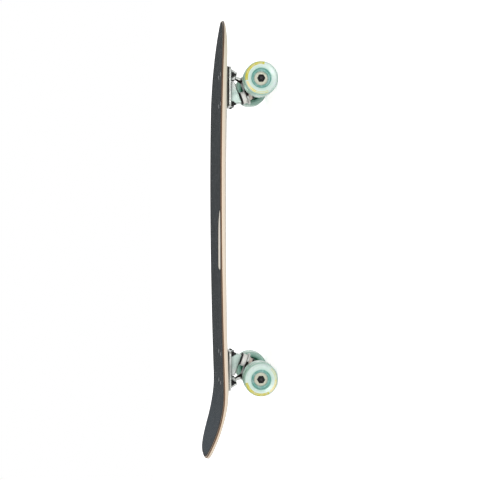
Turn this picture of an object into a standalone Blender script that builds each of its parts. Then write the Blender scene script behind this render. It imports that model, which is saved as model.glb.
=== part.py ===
"""Cruiser skateboard: a kicked maple deck with grip tape on two sprung trucks and four urethane wheels.

Metres, +X to the nose, +Y to the left, +Z up. The origin is on the ground under the middle of the board.
Each truck is drawn once in its own frame: origin at the middle of the axle, +X to the board's near end.
"""

import math

import bmesh
import bpy
from mathutils import Matrix, Vector

# Deck
DECK_LENGTH = 0.8128
FRONT_HALF_WIDTH = 0.1175
TAIL_HALF_WIDTH = 0.1100
DECK_THICKNESS = 0.0104
DECK_EDGE_THINNER = 0.0016
DECK_EDGE_ROUND = 0.0022
NOSE_TAPER = 0.160
NOSE_FULLNESS = 1.90
TAIL_TAPER = 0.198
TAIL_FULLNESS = 3.05
NOSE_DROP = 0.0018
NOSE_DROP_LENGTH = 0.100
NOSE_THINNING = 0.71
NOSE_THINNING_LENGTH = 0.085
TAIL_THINNING = 0.24
KICK_START = 0.667
KICK_RADIUS = 0.300
KICK_ANGLE = math.radians(19.1)
FLAT_HALF_WIDTH = 0.029
MIDDLE_FLAT_HALF_WIDTH = 0.008
FLAT_REACH = 0.048
CONCAVE = 0.0088
CONCAVE_START = -0.060
CONCAVE_DEEPEST = 0.310
CONCAVE_END = 0.700
TAIL_CONCAVE = 0.0018
CONCAVE_POWER = 1.15

# Grip tape
GRIP_THICKNESS = 0.0008
GRIP_MARGIN = 0.0022
WINDOW_LENGTH = 0.112
WINDOW_WIDTH = 0.054
WINDOW_CORNER = 0.008
WINDOW_CUT_DEPTH = 0.013
WINDOW_FROM_NOSE = 0.407

# Where the trucks stand, counted from the nose
FRONT_AXLE_FROM_NOSE = 0.1181
REAR_AXLE_FROM_NOSE = 0.6562

# Deck bolts and their nuts
BOLT_SPACING = 0.0540
BOLT_ROW_SPACING = 0.0413
BOLT_RADIUS = 0.0024
BOLT_HEAD_RADIUS = 0.0047
BOLT_HEAD_DEPTH = 0.0034
BOLT_HEAD_RIM = 0.0006
BOLT_HEAD_SUNK = 0.0002
BOLT_END = 0.0030
LOCK_NUT_ACROSS_FLATS = 0.0095
LOCK_NUT_HEIGHT = 0.0060

# Riser pad and baseplate
RISER_THICKNESS = 0.0030
TRUCK_HEIGHT = 0.0514
BASE_LENGTH = 0.0735
BASE_WIDTH = 0.0560
BASE_INSET = 0.0054
BASE_THICKNESS = 0.0043
BASE_CORNER = 0.0055
BOLT_INSET = 0.0106
CAST_EDGE = 0.0010
BLOCK_HALF_WIDTH = 0.0140
BLOCK_OUT = 0.0295
BLOCK_IN = 0.0075
BLOCK_NECK_IN = 0.0106
BLOCK_NECK_DEPTH = 0.0092
BLOCK_FOOT_IN = 0.0145
BLOCK_FOOT_DEPTH = 0.0047
BOSS_HALF_WIDTH = 0.0115
BOSS_OUT = 0.0150
BOSS_ROOT_DEPTH = 0.0005
BOSS_TOE_OUT = 0.0080
BOSS_TOE_DEPTH = 0.0055
BOSS_HEEL_IN = 0.0060
BOSS_HEEL_DEPTH = 0.0015
BOSS_IN = 0.0085

# Kingpin and what is on it, counted along it from the seat in the baseplate towards the road
KINGPIN_LEAN = math.radians(20)
SEAT_INSET = 0.0259
SEAT_HEIGHT = 0.0282
KINGPIN_RADIUS = 0.00475
KINGPIN_HEAD_RISE = 0.0150
KINGPIN_HEAD_HEIGHT = 0.0052
KINGPIN_FLATS = 0.0127
KINGPIN_NUT_HEIGHT = 0.0070
KINGPIN_END = 0.0015
BOARD_WASHER_RADIUS = 0.0120
BOARD_WASHER_THICKNESS = 0.0026
BOARD_BUSHING_RADIUS = 0.0112
BOARD_BUSHING_HEIGHT = 0.0084
ROAD_BUSHING_RADIUS = 0.0090
ROAD_BUSHING_TIP_RADIUS = 0.0076
ROAD_BUSHING_HEIGHT = 0.0075
BUSHING_BULGE = 0.0004
BUSHING_END = 0.0011
ROAD_WASHER_RADIUS = 0.0086
ROAD_WASHER_THICKNESS = 0.0015

# Hanger
HANGER_WIDTH = 0.128
BARREL_END_RADIUS = 0.0090
BARREL_RADIUS = 0.0115
BARREL_WAIST = 0.024
RING_RADIUS = 0.0152
RING_THICKNESS = 0.0038
RING_HOLE_RADIUS = 0.0073
BUSHING_SEAT_DEPTH = 0.0006
WEB_HALF_WIDTH = 0.0125
WEB_OUT = 0.0180
WEB_UP_STEM = 0.0140
WEB_WRAP_ANGLES = (23, -63, -159)
WEB_WRAP_SINK = 0.0006
PIVOT_OUT = 0.0140
PIVOT_HEIGHT = 0.0395
PIVOT_BALL_RADIUS = 0.0042
STEM_NECK_RADIUS = 0.0037
STEM_NECK_LENGTH = 0.0032
STEM_SPREAD_LENGTH = 0.0322
STEM_ROOT_RADIUS = 0.0085
STEM_AIM_INSET = 0.0030
CUP_WALL = 0.0021
CUP_FLOOR = 0.0013
CUP_MOUTH = 0.0030
CUP_FLARE = 0.0011
LEAN_ROOM = 0.0008
LEAN_ROOM_SIDEWAYS = 1.30

# Axle, wheel and bearing
AXLE_RADIUS = 0.0040
AXLE_END = 0.0005
WHEEL_RADIUS = 0.0310
WHEEL_WIDTH = 0.0430
WHEEL_EDGE_WIDTH = 0.0080
WHEEL_EDGE_DROP = 0.0028
WHEEL_SHOULDER_WIDTH = 0.0036
WHEEL_SHOULDER_DROP = 0.0008
WHEEL_LIP_INSET = 0.0005
WHEEL_FACE_SLOPE = 0.0022
WHEEL_RECESS_RADIUS = 0.0180
WHEEL_RECESS_SLOPE = 0.0015
WHEEL_INNER_RECESS_RADIUS = 0.0205
WHEEL_RIB_HOLE_RADIUS = 0.0075
BEARING_RADIUS = 0.0110
BEARING_WIDTH = 0.0070
BEARING_SPACING = 0.0100
SPEED_RING_THICKNESS = 0.0009
SPEED_RING_RADIUS = 0.0062
AXLE_NUT_FLATS = 0.0127
AXLE_NUT_HEIGHT = 0.0065
NUT_CHAMFER = 0.0006

# Clearance between pieces that touch on the real board
GAP = 0.0003

WHEEL_SEGMENTS = 30
ROUND_SEGMENTS = 20
RING_SEGMENTS = 16
SMALL_SEGMENTS = 12
STATIONS = 32
TIP_CROWDING = 1.9
COLUMN_SHARES = (1.0, 0.8, 0.55)
INNER_COLUMN_SHARE = 0.26

AXLE_HEIGHT = WHEEL_RADIUS * math.cos(math.pi / WHEEL_SEGMENTS)
NOSE_X = DECK_LENGTH / 2
BASE_TOP = TRUCK_HEIGHT
RISER_BOTTOM = BASE_TOP + GAP
RISER_TOP = RISER_BOTTOM + RISER_THICKNESS
DECK_BOTTOM = RISER_TOP + GAP
DECK_TOP = DECK_BOTTOM + DECK_THICKNESS
GRIP_BOTTOM = DECK_TOP + GAP
GRIP_TOP = GRIP_BOTTOM + GRIP_THICKNESS

BOARD_WASHER_START = GAP
BOARD_BUSHING_START = BOARD_WASHER_START + BOARD_WASHER_THICKNESS + GAP
RING_START = BOARD_BUSHING_START + BOARD_BUSHING_HEIGHT + GAP
ROAD_BUSHING_START = RING_START + RING_THICKNESS - BUSHING_SEAT_DEPTH + GAP
ROAD_WASHER_START = ROAD_BUSHING_START + ROAD_BUSHING_HEIGHT + GAP
KINGPIN_NUT_START = ROAD_WASHER_START + ROAD_WASHER_THICKNESS + GAP
KINGPIN_TIP = KINGPIN_NUT_START + KINGPIN_NUT_HEIGHT + KINGPIN_END

WHEEL_CENTRE = HANGER_WIDTH / 2 + GAP + BEARING_WIDTH + BEARING_SPACING / 2
OUTER_BEARING_FACE = WHEEL_CENTRE + BEARING_SPACING / 2 + BEARING_WIDTH
SPEED_RING_START = OUTER_BEARING_FACE + GAP
AXLE_NUT_START = SPEED_RING_START + SPEED_RING_THICKNESS + GAP
AXLE_TIP = AXLE_NUT_START + AXLE_NUT_HEIGHT + AXLE_END

SEAT = Vector((-SEAT_INSET, 0, SEAT_HEIGHT))
DOWN_KINGPIN = Vector((math.sin(KINGPIN_LEAN), 0, -math.cos(KINGPIN_LEAN)))
ALONG_SEAT = Vector((math.cos(KINGPIN_LEAN), 0, math.sin(KINGPIN_LEAN)))
PIVOT = Vector((PIVOT_OUT, 0, PIVOT_HEIGHT))
RING_CENTRE = SEAT + DOWN_KINGPIN * (RING_START + RING_THICKNESS / 2)
STEERING_AXIS = (PIVOT - RING_CENTRE).normalized()
STEM_ROOT = Vector((-STEM_AIM_INSET, 0, 0))

KINGPIN_FRAME = Matrix.Translation(SEAT) @ Matrix.Rotation(-KINGPIN_LEAN, 4, "Y")
STEM_DIRECTION = (STEM_ROOT - PIVOT).normalized()
STEM_LENGTH = (STEM_ROOT - PIVOT).length
STEM_FRAME = Matrix.Translation(PIVOT) @ Vector((0, 0, 1)).rotation_difference(-STEM_DIRECTION).to_matrix().to_4x4()
# Each truck's name, where its axle is, and which way its own +X points
TRUCKS = (
    ("front", NOSE_X - FRONT_AXLE_FROM_NOSE, 1),
    ("rear", NOSE_X - REAR_AXLE_FROM_NOSE, -1),
)
TO_LEFT = Matrix.Rotation(math.radians(-90), 4, "X")
TO_RIGHT = Matrix.Rotation(math.radians(90), 4, "X")


def clear_scene():
    for obj in list(bpy.data.objects):
        bpy.data.objects.remove(obj, do_unlink=True)


def new_collection(name):
    collection = bpy.data.collections.new(name)
    bpy.context.scene.collection.children.link(collection)
    return collection


def new_material(name, colour, roughness, metallic=0.0):
    material = bpy.data.materials.new(name)
    material.use_nodes = True
    shader = material.node_tree.nodes["Principled BSDF"]
    shader.inputs["Base Color"].default_value = (*colour, 1)
    shader.inputs["Roughness"].default_value = roughness
    shader.inputs["Metallic"].default_value = metallic
    material.diffuse_color = (*colour, 1)
    return material


def smooth(mesh, degrees=32):
    mesh.shade_smooth()
    mesh.set_sharp_from_angle(angle=math.radians(degrees))


def object_from(name, build, matrix=None):
    """An object whose mesh is made by build, a function that fills a bmesh."""
    mesh = bpy.data.meshes.new(name)
    shape = bmesh.new()
    build(shape)
    bmesh.ops.recalc_face_normals(shape, faces=shape.faces)
    shape.to_mesh(mesh)
    shape.free()
    obj = bpy.data.objects.new(name, mesh)
    if matrix is not None:
        mesh.transform(matrix)
    return obj


def made_real(obj):
    """The object's modifiers or curve turned into a plain mesh, with its caps joined on."""
    bpy.context.scene.collection.objects.link(obj)
    bpy.context.view_layer.update()
    evaluated = obj.evaluated_get(bpy.context.evaluated_depsgraph_get())
    mesh = bpy.data.meshes.new_from_object(evaluated)
    shape = bmesh.new()
    shape.from_mesh(mesh)
    bmesh.ops.remove_doubles(shape, verts=shape.verts, dist=1e-6)
    bmesh.ops.recalc_face_normals(shape, faces=shape.faces)
    shape.to_mesh(mesh)
    shape.free()
    name = obj.name
    bpy.data.objects.remove(obj, do_unlink=True)
    mesh.name = name
    return bpy.data.objects.new(name, mesh)


def turned(name, profile, segments, matrix=None):
    """A turned piece: profile is (radius, height) from the top down its outer side, closed if it has a bore."""
    closed = all(radius > 0 for radius, height in profile)

    def build(shape):
        points = [shape.verts.new((radius, 0, height)) for radius, height in profile]
        for first, second in zip(points, points[1:]):
            shape.edges.new((first, second))
        if closed:
            shape.edges.new((points[-1], points[0]))

    obj = object_from(name, build)
    screw = obj.modifiers.new("turn", "SCREW")
    screw.axis = "Z"
    screw.steps = segments
    screw.render_steps = segments
    screw.use_merge_vertices = True
    screw.merge_threshold = 1e-6
    obj = made_real(obj)
    if matrix is not None:
        obj.data.transform(matrix)
    smooth(obj.data)
    return obj


def cylinder(name, radius, low, high, segments, matrix=None):
    def build(shape):
        middle = Matrix.Translation((0, 0, (low + high) / 2))
        bmesh.ops.create_cone(
            shape, cap_ends=True, segments=segments, radius1=radius, radius2=radius, depth=high - low, matrix=middle
        )

    return object_from(name, build, matrix)


def flat_outline(name, points, thickness, matrix):
    """A flat plate: a closed outline in its own XY plane, thickness split about that plane."""
    curve = bpy.data.curves.new(name, "CURVE")
    curve.dimensions = "2D"
    curve.fill_mode = "BOTH"
    curve.extrude = thickness / 2
    spline = curve.splines.new("POLY")
    spline.points.add(len(points) - 1)
    for point, (x, y) in zip(spline.points, points):
        point.co = (x, y, 0, 1)
    spline.use_cyclic_u = True
    obj = made_real(bpy.data.objects.new(name, curve))
    obj.data.transform(matrix)
    return obj


def side_prism(name, points, half_width):
    """A block with its outline in the XZ plane, half_width to each side of it."""
    stand_up = Matrix.Rotation(math.radians(90), 4, "X")
    return flat_outline(name, points, half_width * 2, stand_up)


def rounded_rectangle(length, width, radius, steps=4):
    points = []
    for corner, (side_x, side_y) in enumerate(((1, 1), (-1, 1), (-1, -1), (1, -1))):
        centre_x = side_x * (length / 2 - radius)
        centre_y = side_y * (width / 2 - radius)
        for step in range(steps + 1):
            angle = math.radians(90) * (corner + step / steps)
            points.append((centre_x + radius * math.cos(angle), centre_y + radius * math.sin(angle)))
    return points


def bevelled(obj, width, segments=1):
    bevel = obj.modifiers.new("edge", "BEVEL")
    bevel.width = width
    bevel.segments = segments
    bevel.limit_method = "ANGLE"
    bevel.angle_limit = math.radians(30)
    return made_real(obj)


def hexagon(name, across_flats, low, high, matrix=None):
    """A hexagon prism with its corners turned off at both ends."""
    corner = across_flats / math.sqrt(3)
    blank = cylinder(name, corner, low, high, 6)
    obj = bevelled(blank, NUT_CHAMFER)
    if matrix is not None:
        obj.data.transform(matrix)
    return obj


class Workshop:
    """Puts finished pieces in the board's collection and keeps cutters apart from them."""

    def __init__(self):
        self.parts = new_collection("cruiser_skateboard")
        self.cutters = new_collection("cutters")

    def place(self, obj, name, material, parent=None, matrix=None):
        obj.name = name
        obj.data.name = name
        obj.data.materials.clear()
        obj.data.materials.append(material)
        self.parts.objects.link(obj)
        obj.parent = parent
        if matrix is not None:
            obj.matrix_local = matrix
        return obj

    def helper(self, obj):
        obj.hide_render = True
        obj.display_type = "WIRE"
        self.cutters.objects.link(obj)
        return obj

    def combine(self, obj, operation, other):
        """Joins other to obj, or cuts it away, as a live Boolean."""
        self.helper(other)
        boolean = obj.modifiers.new(other.name, "BOOLEAN")
        boolean.operation = operation
        boolean.object = other
        boolean.solver = "EXACT"
        return obj

    def finished(self, obj):
        """The object with its Booleans worked out; its helpers stay in their collection."""
        obj = made_real(obj)
        shape = bmesh.new()
        shape.from_mesh(obj.data)
        bmesh.ops.triangulate(shape, faces=shape.faces, quad_method="BEAUTY", ngon_method="BEAUTY")
        bmesh.ops.dissolve_degenerate(shape, edges=shape.edges, dist=1e-5)
        shape.to_mesh(obj.data)
        shape.free()
        smooth(obj.data)
        return obj


def from_nose(x):
    return NOSE_X - x


def half_width(x):
    """Half the deck's width at x: a straight taper, rounded off at nose and tail."""
    distance = from_nose(x)
    share = min(max(distance / DECK_LENGTH, 0), 1)
    width = FRONT_HALF_WIDTH + (TAIL_HALF_WIDTH - FRONT_HALF_WIDTH) * share
    nose = max(1 - distance / NOSE_TAPER, 0)
    tail = max(1 - (DECK_LENGTH - distance) / TAIL_TAPER, 0)
    width *= max(1 - nose**NOSE_FULLNESS, 0) ** (1 / NOSE_FULLNESS)
    width *= max(1 - tail**TAIL_FULLNESS, 0) ** (1 / TAIL_FULLNESS)
    return width


def spine(x):
    """Height of the deck's middle line over its flat part."""
    distance = from_nose(x)
    drop = max(1 - distance / NOSE_DROP_LENGTH, 0)
    height = -NOSE_DROP * drop**2
    past = distance - KICK_START
    arc = KICK_RADIUS * math.sin(KICK_ANGLE)
    if past > arc:
        height += KICK_RADIUS * (1 - math.cos(KICK_ANGLE)) + (past - arc) * math.tan(KICK_ANGLE)
    elif past > 0:
        height += KICK_RADIUS - math.sqrt(KICK_RADIUS**2 - past**2)
    return height


def rail_rise(x):
    """How far the deck's edges rise over its middle line."""
    distance = from_nose(x)
    if distance < CONCAVE_DEEPEST:
        off = min((CONCAVE_DEEPEST - distance) / (CONCAVE_DEEPEST - CONCAVE_START), 1)
        return CONCAVE * (1 - off**2)
    off = min((distance - CONCAVE_DEEPEST) / (CONCAVE_END - CONCAVE_DEEPEST), 1)
    return TAIL_CONCAVE + (CONCAVE - TAIL_CONCAVE) * (1 - off**2)


def off_flat(x, y):
    """How far y is past the flat, as a share of the sloping side's width. The flat narrows between the trucks."""
    distance = from_nose(x)
    ends = (FRONT_AXLE_FROM_NOSE + FLAT_REACH, REAR_AXLE_FROM_NOSE - FLAT_REACH)
    along = (2 * distance - sum(ends)) / (ends[1] - ends[0])
    narrower = max(1 - along**2, 0)
    flat = FLAT_HALF_WIDTH - (FLAT_HALF_WIDTH - MIDDLE_FLAT_HALF_WIDTH) * narrower
    return max(abs(y) - flat, 0) / (TAIL_HALF_WIDTH - flat)


def thickness_share(x):
    """The deck's thickness at x over its full one: it is bevelled from below at the nose, and a little at the tail."""
    nose = max(1 - from_nose(x) / NOSE_THINNING_LENGTH, 0)
    tail = max((from_nose(x) - KICK_START) / (DECK_LENGTH - KICK_START), 0)
    return 1 - NOSE_THINNING * nose**2 - TAIL_THINNING * min(tail * 2, 1)


def kick(x):
    """How steeply the deck leans at x, as an angle."""
    past = from_nose(x) - KICK_START
    return min(math.asin(min(max(past / KICK_RADIUS, 0), 1)), KICK_ANGLE)


def dish(x, y):
    """Height of the deck's surface at x, y over its flat middle."""
    return spine(x) + rail_rise(x) * off_flat(x, y) ** CONCAVE_POWER


def stations(margin):
    """Places along the board, close together at both tips."""
    places = []
    for step in range(STATIONS + 1):
        share = 2 * step / STATIONS - 1
        eased = math.copysign(1 - (1 - abs(share)) ** TIP_CROWDING, share)
        places.append(eased * (DECK_LENGTH / 2 - margin))
    return places


def dished_sheet(name, bottom, top, margin, edge_round=0.0, edge_thinner=0.0):
    """A sheet that follows the deck: heights over the axle's centre, margin inside the deck's outline."""
    length = DECK_LENGTH / 2

    def across(x):
        scale = length / (length - margin)
        edge = max(half_width(min(max(x * scale, -length), length)) - margin, 0)
        inner = min(FLAT_HALF_WIDTH, edge * INNER_COLUMN_SHARE)
        left = [-edge * column for column in COLUMN_SHARES]
        if edge_round:
            left.insert(1, -max(edge - edge_round, edge * 0.9))
        return left + [-inner, 0, inner] + [-place for place in reversed(left)]

    def build(shape):
        rows = []
        for x in stations(margin):
            places = across(x)
            if abs(places[0]) < 1e-5:
                places = [0.0]
            lean = kick(x)
            share = thickness_share(x)
            upper = []
            lower = []
            for index, y in enumerate(places):
                inset = edge_round * share if index in (0, len(places) - 1) else 0
                thinner = edge_thinner * off_flat(x, y) + (1 - share) * (top - bottom) if edge_round else 0
                heights = (top - DECK_BOTTOM - inset, bottom - DECK_BOTTOM + inset + thinner)
                for row, height in zip((upper, lower), heights):
                    lift = AXLE_HEIGHT + DECK_BOTTOM + dish(x, y) + height * math.cos(lean)
                    row.append(shape.verts.new((x + height * math.sin(lean), y, lift)))
            rows.append((upper, lower))
        for (upper_a, lower_a), (upper_b, lower_b) in zip(rows, rows[1:]):
            for first, second in ((upper_a, upper_b), (lower_a, lower_b)):
                bridge(shape, first, second)
            for end in (0, -1):
                shape.faces.new((upper_a[end], upper_b[end], lower_b[end], lower_a[end]))

    obj = object_from(name, build)
    smooth(obj.data, 24)
    return obj


def bridge(shape, first, second):
    """Faces between two rows of points, either of which may be a single point at a tip."""
    if len(first) == 1 or len(second) == 1:
        tip, row = (first[0], second) if len(first) == 1 else (second[0], first)
        for one, two in zip(row, row[1:]):
            shape.faces.new((tip, one, two))
        return
    for index in range(len(first) - 1):
        shape.faces.new((first[index], first[index + 1], second[index + 1], second[index]))


def bolt_places():
    """The eight deck bolts: name, and place on the board."""
    places = []
    for end, axle, outward in TRUCKS:
        middle = axle - outward * BOLT_INSET
        for where, step in (("outer", outward), ("inner", -outward)):
            for side, across in (("left", 1), ("right", -1)):
                x = middle + step * BOLT_SPACING / 2
                places.append((f"{end}_{where}_{side}", x, across * BOLT_ROW_SPACING / 2))
    return places


def bolt_profile(room):
    """A countersunk bolt, or with room the cutter for its hole: heights over the axle's centre."""
    head_top = GRIP_TOP - BOLT_HEAD_SUNK
    rim = head_top - BOLT_HEAD_RIM
    neck = head_top - BOLT_HEAD_DEPTH
    tip = BASE_TOP - BASE_THICKNESS - GAP - LOCK_NUT_HEIGHT - BOLT_END
    past = room * 4
    return [
        (0, head_top + past),
        (BOLT_HEAD_RADIUS + room, head_top + past),
        (BOLT_HEAD_RADIUS + room, rim - room),
        (BOLT_RADIUS + room, neck - room),
        (BOLT_RADIUS + room, tip - past),
        (0, tip - past),
    ]


def truck_frame(axle_x, outward):
    turn = Matrix.Rotation(0 if outward > 0 else math.pi, 4, "Z")
    return Matrix.Translation((axle_x, 0, AXLE_HEIGHT)) @ turn


def bolt_cutter(name, places):
    """One cutter for all the given bolts' holes."""
    single = turned(name, bolt_profile(GAP), SMALL_SEGMENTS)

    def build(shape):
        for x, y in places:
            copy = single.data.copy()
            copy.transform(Matrix.Translation((x, y, 0)))
            shape.from_mesh(copy)
            bpy.data.meshes.remove(copy)

    obj = object_from(name, build)
    bpy.data.objects.remove(single, do_unlink=True)
    return obj


def arch_outline(length, width, corner, steps=6):
    """A pointed arch: its tip towards the nose, two curved sides, and a square end with rounded corners."""
    half = width / 2
    left = []
    for step in range(1, steps + 1):
        share = step / steps
        rise = math.sin(math.radians(90) * share) ** 0.6
        left.append((length / 2 * (1 - share**1.5), half * rise))
    for step in range(steps):
        angle = math.radians(90) * step / (steps - 1)
        x = -length / 2 + corner * (1 - math.sin(angle))
        left.append((x, half - corner * (1 - math.cos(angle))))
    return [(length / 2, 0)] + left + [(x, -y) for x, y in reversed(left)]


def make_deck(shop, wood, grip):
    lift = Matrix.Translation((0, 0, AXLE_HEIGHT))
    places = [(x, y) for name, x, y in bolt_places()]

    deck = dished_sheet("deck", DECK_BOTTOM, DECK_TOP, 0.0, DECK_EDGE_ROUND, DECK_EDGE_THINNER)
    holes = bolt_cutter("deck_bolt_holes", places)
    holes.data.transform(lift)
    shop.combine(deck, "DIFFERENCE", holes)
    deck = shop.finished(deck)
    shop.place(deck, "deck", wood)

    tape = dished_sheet("grip_tape", GRIP_BOTTOM, GRIP_TOP, GRIP_MARGIN)
    shop.combine(tape, "DIFFERENCE", bolt_copy(holes, "grip_bolt_holes"))
    middle = Matrix.Translation((from_nose(WINDOW_FROM_NOSE), 0, AXLE_HEIGHT + GRIP_TOP))
    arch = arch_outline(WINDOW_LENGTH, WINDOW_WIDTH, WINDOW_CORNER)
    window = flat_outline("grip_window", arch, WINDOW_CUT_DEPTH, middle)
    shop.combine(tape, "DIFFERENCE", window)
    tape = shop.finished(tape)
    shop.place(tape, "grip_tape", grip)


def bolt_copy(obj, name):
    return bpy.data.objects.new(name, obj.data.copy())


def make_bolts(shop, steel, black):
    bolt = turned("deck_bolt", bolt_profile(0), SMALL_SEGMENTS)
    nut_top = BASE_TOP - BASE_THICKNESS - GAP
    nut = hexagon("lock_nut", LOCK_NUT_ACROSS_FLATS, nut_top - LOCK_NUT_HEIGHT, nut_top)
    bore = cylinder("lock_nut_bore", BOLT_RADIUS + GAP, nut_top - 2 * LOCK_NUT_HEIGHT, BASE_TOP, SMALL_SEGMENTS)
    shop.combine(nut, "DIFFERENCE", bore)
    nut = shop.finished(nut)
    for name, x, y in bolt_places():
        stand = Matrix.Translation((x, y, AXLE_HEIGHT))
        shop.place(bpy.data.objects.new(name, bolt.data.copy()), f"{name}_bolt", steel, matrix=stand)
        shop.place(bpy.data.objects.new(name, nut.data.copy()), f"{name}_lock_nut", black, matrix=stand)
    bpy.data.objects.remove(bolt, do_unlink=True)
    bpy.data.objects.remove(nut, do_unlink=True)


def base_bolt_places():
    return [
        (-BOLT_INSET + step * BOLT_SPACING / 2, side * BOLT_ROW_SPACING / 2) for step in (1, -1) for side in (1, -1)
    ]


def seat_height(x):
    """Height of the kingpin block's slanted face at x."""
    return SEAT_HEIGHT + (x + SEAT_INSET) * math.tan(KINGPIN_LEAN)


def riser_shape(shop):
    outline = rounded_rectangle(BASE_LENGTH, BASE_WIDTH, BASE_CORNER)
    middle = Matrix.Translation((-BASE_INSET, 0, RISER_BOTTOM + RISER_THICKNESS / 2))
    pad = flat_outline("riser", outline, RISER_THICKNESS, middle)
    shop.combine(pad, "DIFFERENCE", bolt_cutter("riser_bolt_holes", base_bolt_places()))
    return shop.finished(pad)


def baseplate_shape(shop):
    """Flange, kingpin block and pivot boss in one casting, with its holes and pockets."""
    outline = rounded_rectangle(BASE_LENGTH, BASE_WIDTH, BASE_CORNER)
    middle = Matrix.Translation((-BASE_INSET, 0, BASE_TOP - BASE_THICKNESS / 2))
    plate = flat_outline("flange", outline, BASE_THICKNESS, middle)
    shop.combine(plate, "DIFFERENCE", bolt_cutter("base_bolt_holes", base_bolt_places()))

    inside = BASE_TOP - BASE_THICKNESS / 2
    under = BASE_TOP - BASE_THICKNESS
    block_outer = -SEAT_INSET + BLOCK_OUT
    block_inner = -SEAT_INSET - BLOCK_IN
    foot_inner = -SEAT_INSET - BLOCK_FOOT_IN
    block = side_prism(
        "kingpin_block",
        [
            (block_outer, inside),
            (block_outer, seat_height(block_outer)),
            (block_inner, seat_height(block_inner)),
            (-SEAT_INSET - BLOCK_NECK_IN, under - BLOCK_NECK_DEPTH),
            (foot_inner, under - BLOCK_FOOT_DEPTH),
            (foot_inner, inside),
        ],
        BLOCK_HALF_WIDTH,
    )
    boss = side_prism(
        "pivot_boss",
        [
            (PIVOT_OUT + BOSS_OUT, inside),
            (PIVOT_OUT + BOSS_OUT, under - BOSS_ROOT_DEPTH),
            (PIVOT_OUT + BOSS_TOE_OUT, PIVOT_HEIGHT - BOSS_TOE_DEPTH),
            (PIVOT_OUT - BOSS_HEEL_IN, PIVOT_HEIGHT - BOSS_HEEL_DEPTH),
            (PIVOT_OUT - BOSS_IN, inside),
        ],
        BOSS_HALF_WIDTH,
    )
    shop.combine(plate, "UNION", bevelled(block, CAST_EDGE))
    shop.combine(plate, "UNION", bevelled(boss, CAST_EDGE))

    room = KINGPIN_FLATS / math.sqrt(3) + GAP
    pocket = [
        (0, KINGPIN_HEAD_RISE * 2),
        (room, KINGPIN_HEAD_RISE * 2),
        (room, KINGPIN_HEAD_RISE - GAP),
        (KINGPIN_RADIUS + GAP, KINGPIN_HEAD_RISE - GAP),
        (KINGPIN_RADIUS + GAP, -KINGPIN_HEAD_RISE),
        (0, -KINGPIN_HEAD_RISE),
    ]
    shop.combine(plate, "DIFFERENCE", turned("kingpin_pocket", pocket, ROUND_SEGMENTS, KINGPIN_FRAME))
    cup_room = cup_radius() + GAP
    socket = cylinder(
        "pivot_socket", cup_room, -CUP_MOUTH * 4, cup_floor_height() + GAP, ROUND_SEGMENTS, STEM_FRAME
    )
    shop.combine(plate, "DIFFERENCE", socket)
    return shop.finished(plate)


def cup_radius():
    return PIVOT_BALL_RADIUS + GAP + CUP_WALL


def cup_floor_height():
    return PIVOT_BALL_RADIUS + GAP + CUP_FLOOR


def pivot_cup_shape():
    """A cup open towards the road, with a round seat for the hanger's pivot."""
    seat = PIVOT_BALL_RADIUS + GAP
    top = cup_floor_height()
    profile = [(0, top), (cup_radius(), top), (cup_radius(), -CUP_MOUTH), (seat + CUP_FLARE, -CUP_MOUTH)]
    steps = 5
    for step in range(steps + 1):
        angle = math.radians(90) * step / steps
        profile.append((seat * math.cos(angle), seat * math.sin(angle)))
    profile[-1] = (0, seat)
    return turned("pivot_cup", profile, RING_SEGMENTS, STEM_FRAME)


def stack_ring(name, start, thickness, outer, bore, tip=None, bulge=0.0):
    """A ring on the kingpin between two depths below the seat; one with a bulge has softened ends."""
    end = start + thickness
    tip = outer if tip is None else tip
    if bulge:
        middle = (outer + tip) / 2 + bulge
        outside = [(outer - bulge, -start), (outer, -start - BUSHING_END), (middle, -(start + end) / 2)]
        outside += [(tip, -end + BUSHING_END), (tip - bulge, -end)]
    else:
        outside = [(outer, -start), (tip, -end)]
    return turned(name, outside + [(bore, -end), (bore, -start)], RING_SEGMENTS, KINGPIN_FRAME)


def kingpin_shape(shop):
    """A hexagon-headed bolt, head up in the baseplate."""
    pin = cylinder("kingpin", KINGPIN_RADIUS, -KINGPIN_TIP, KINGPIN_HEAD_RISE + KINGPIN_HEAD_HEIGHT / 2, ROUND_SEGMENTS)
    head = hexagon("kingpin_head", KINGPIN_FLATS, KINGPIN_HEAD_RISE, KINGPIN_HEAD_RISE + KINGPIN_HEAD_HEIGHT)
    shop.combine(pin, "UNION", head)
    pin = shop.finished(pin)
    pin.data.transform(KINGPIN_FRAME)
    return pin


def nut_shape(shop, name, across_flats, low, high, bore_radius, matrix):
    nut = hexagon(name, across_flats, low, high)
    bore = cylinder(name + "_bore", bore_radius, low - (high - low), high + (high - low), ROUND_SEGMENTS)
    shop.combine(nut, "DIFFERENCE", bore)
    nut = shop.finished(nut)
    nut.data.transform(matrix)
    return nut


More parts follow.
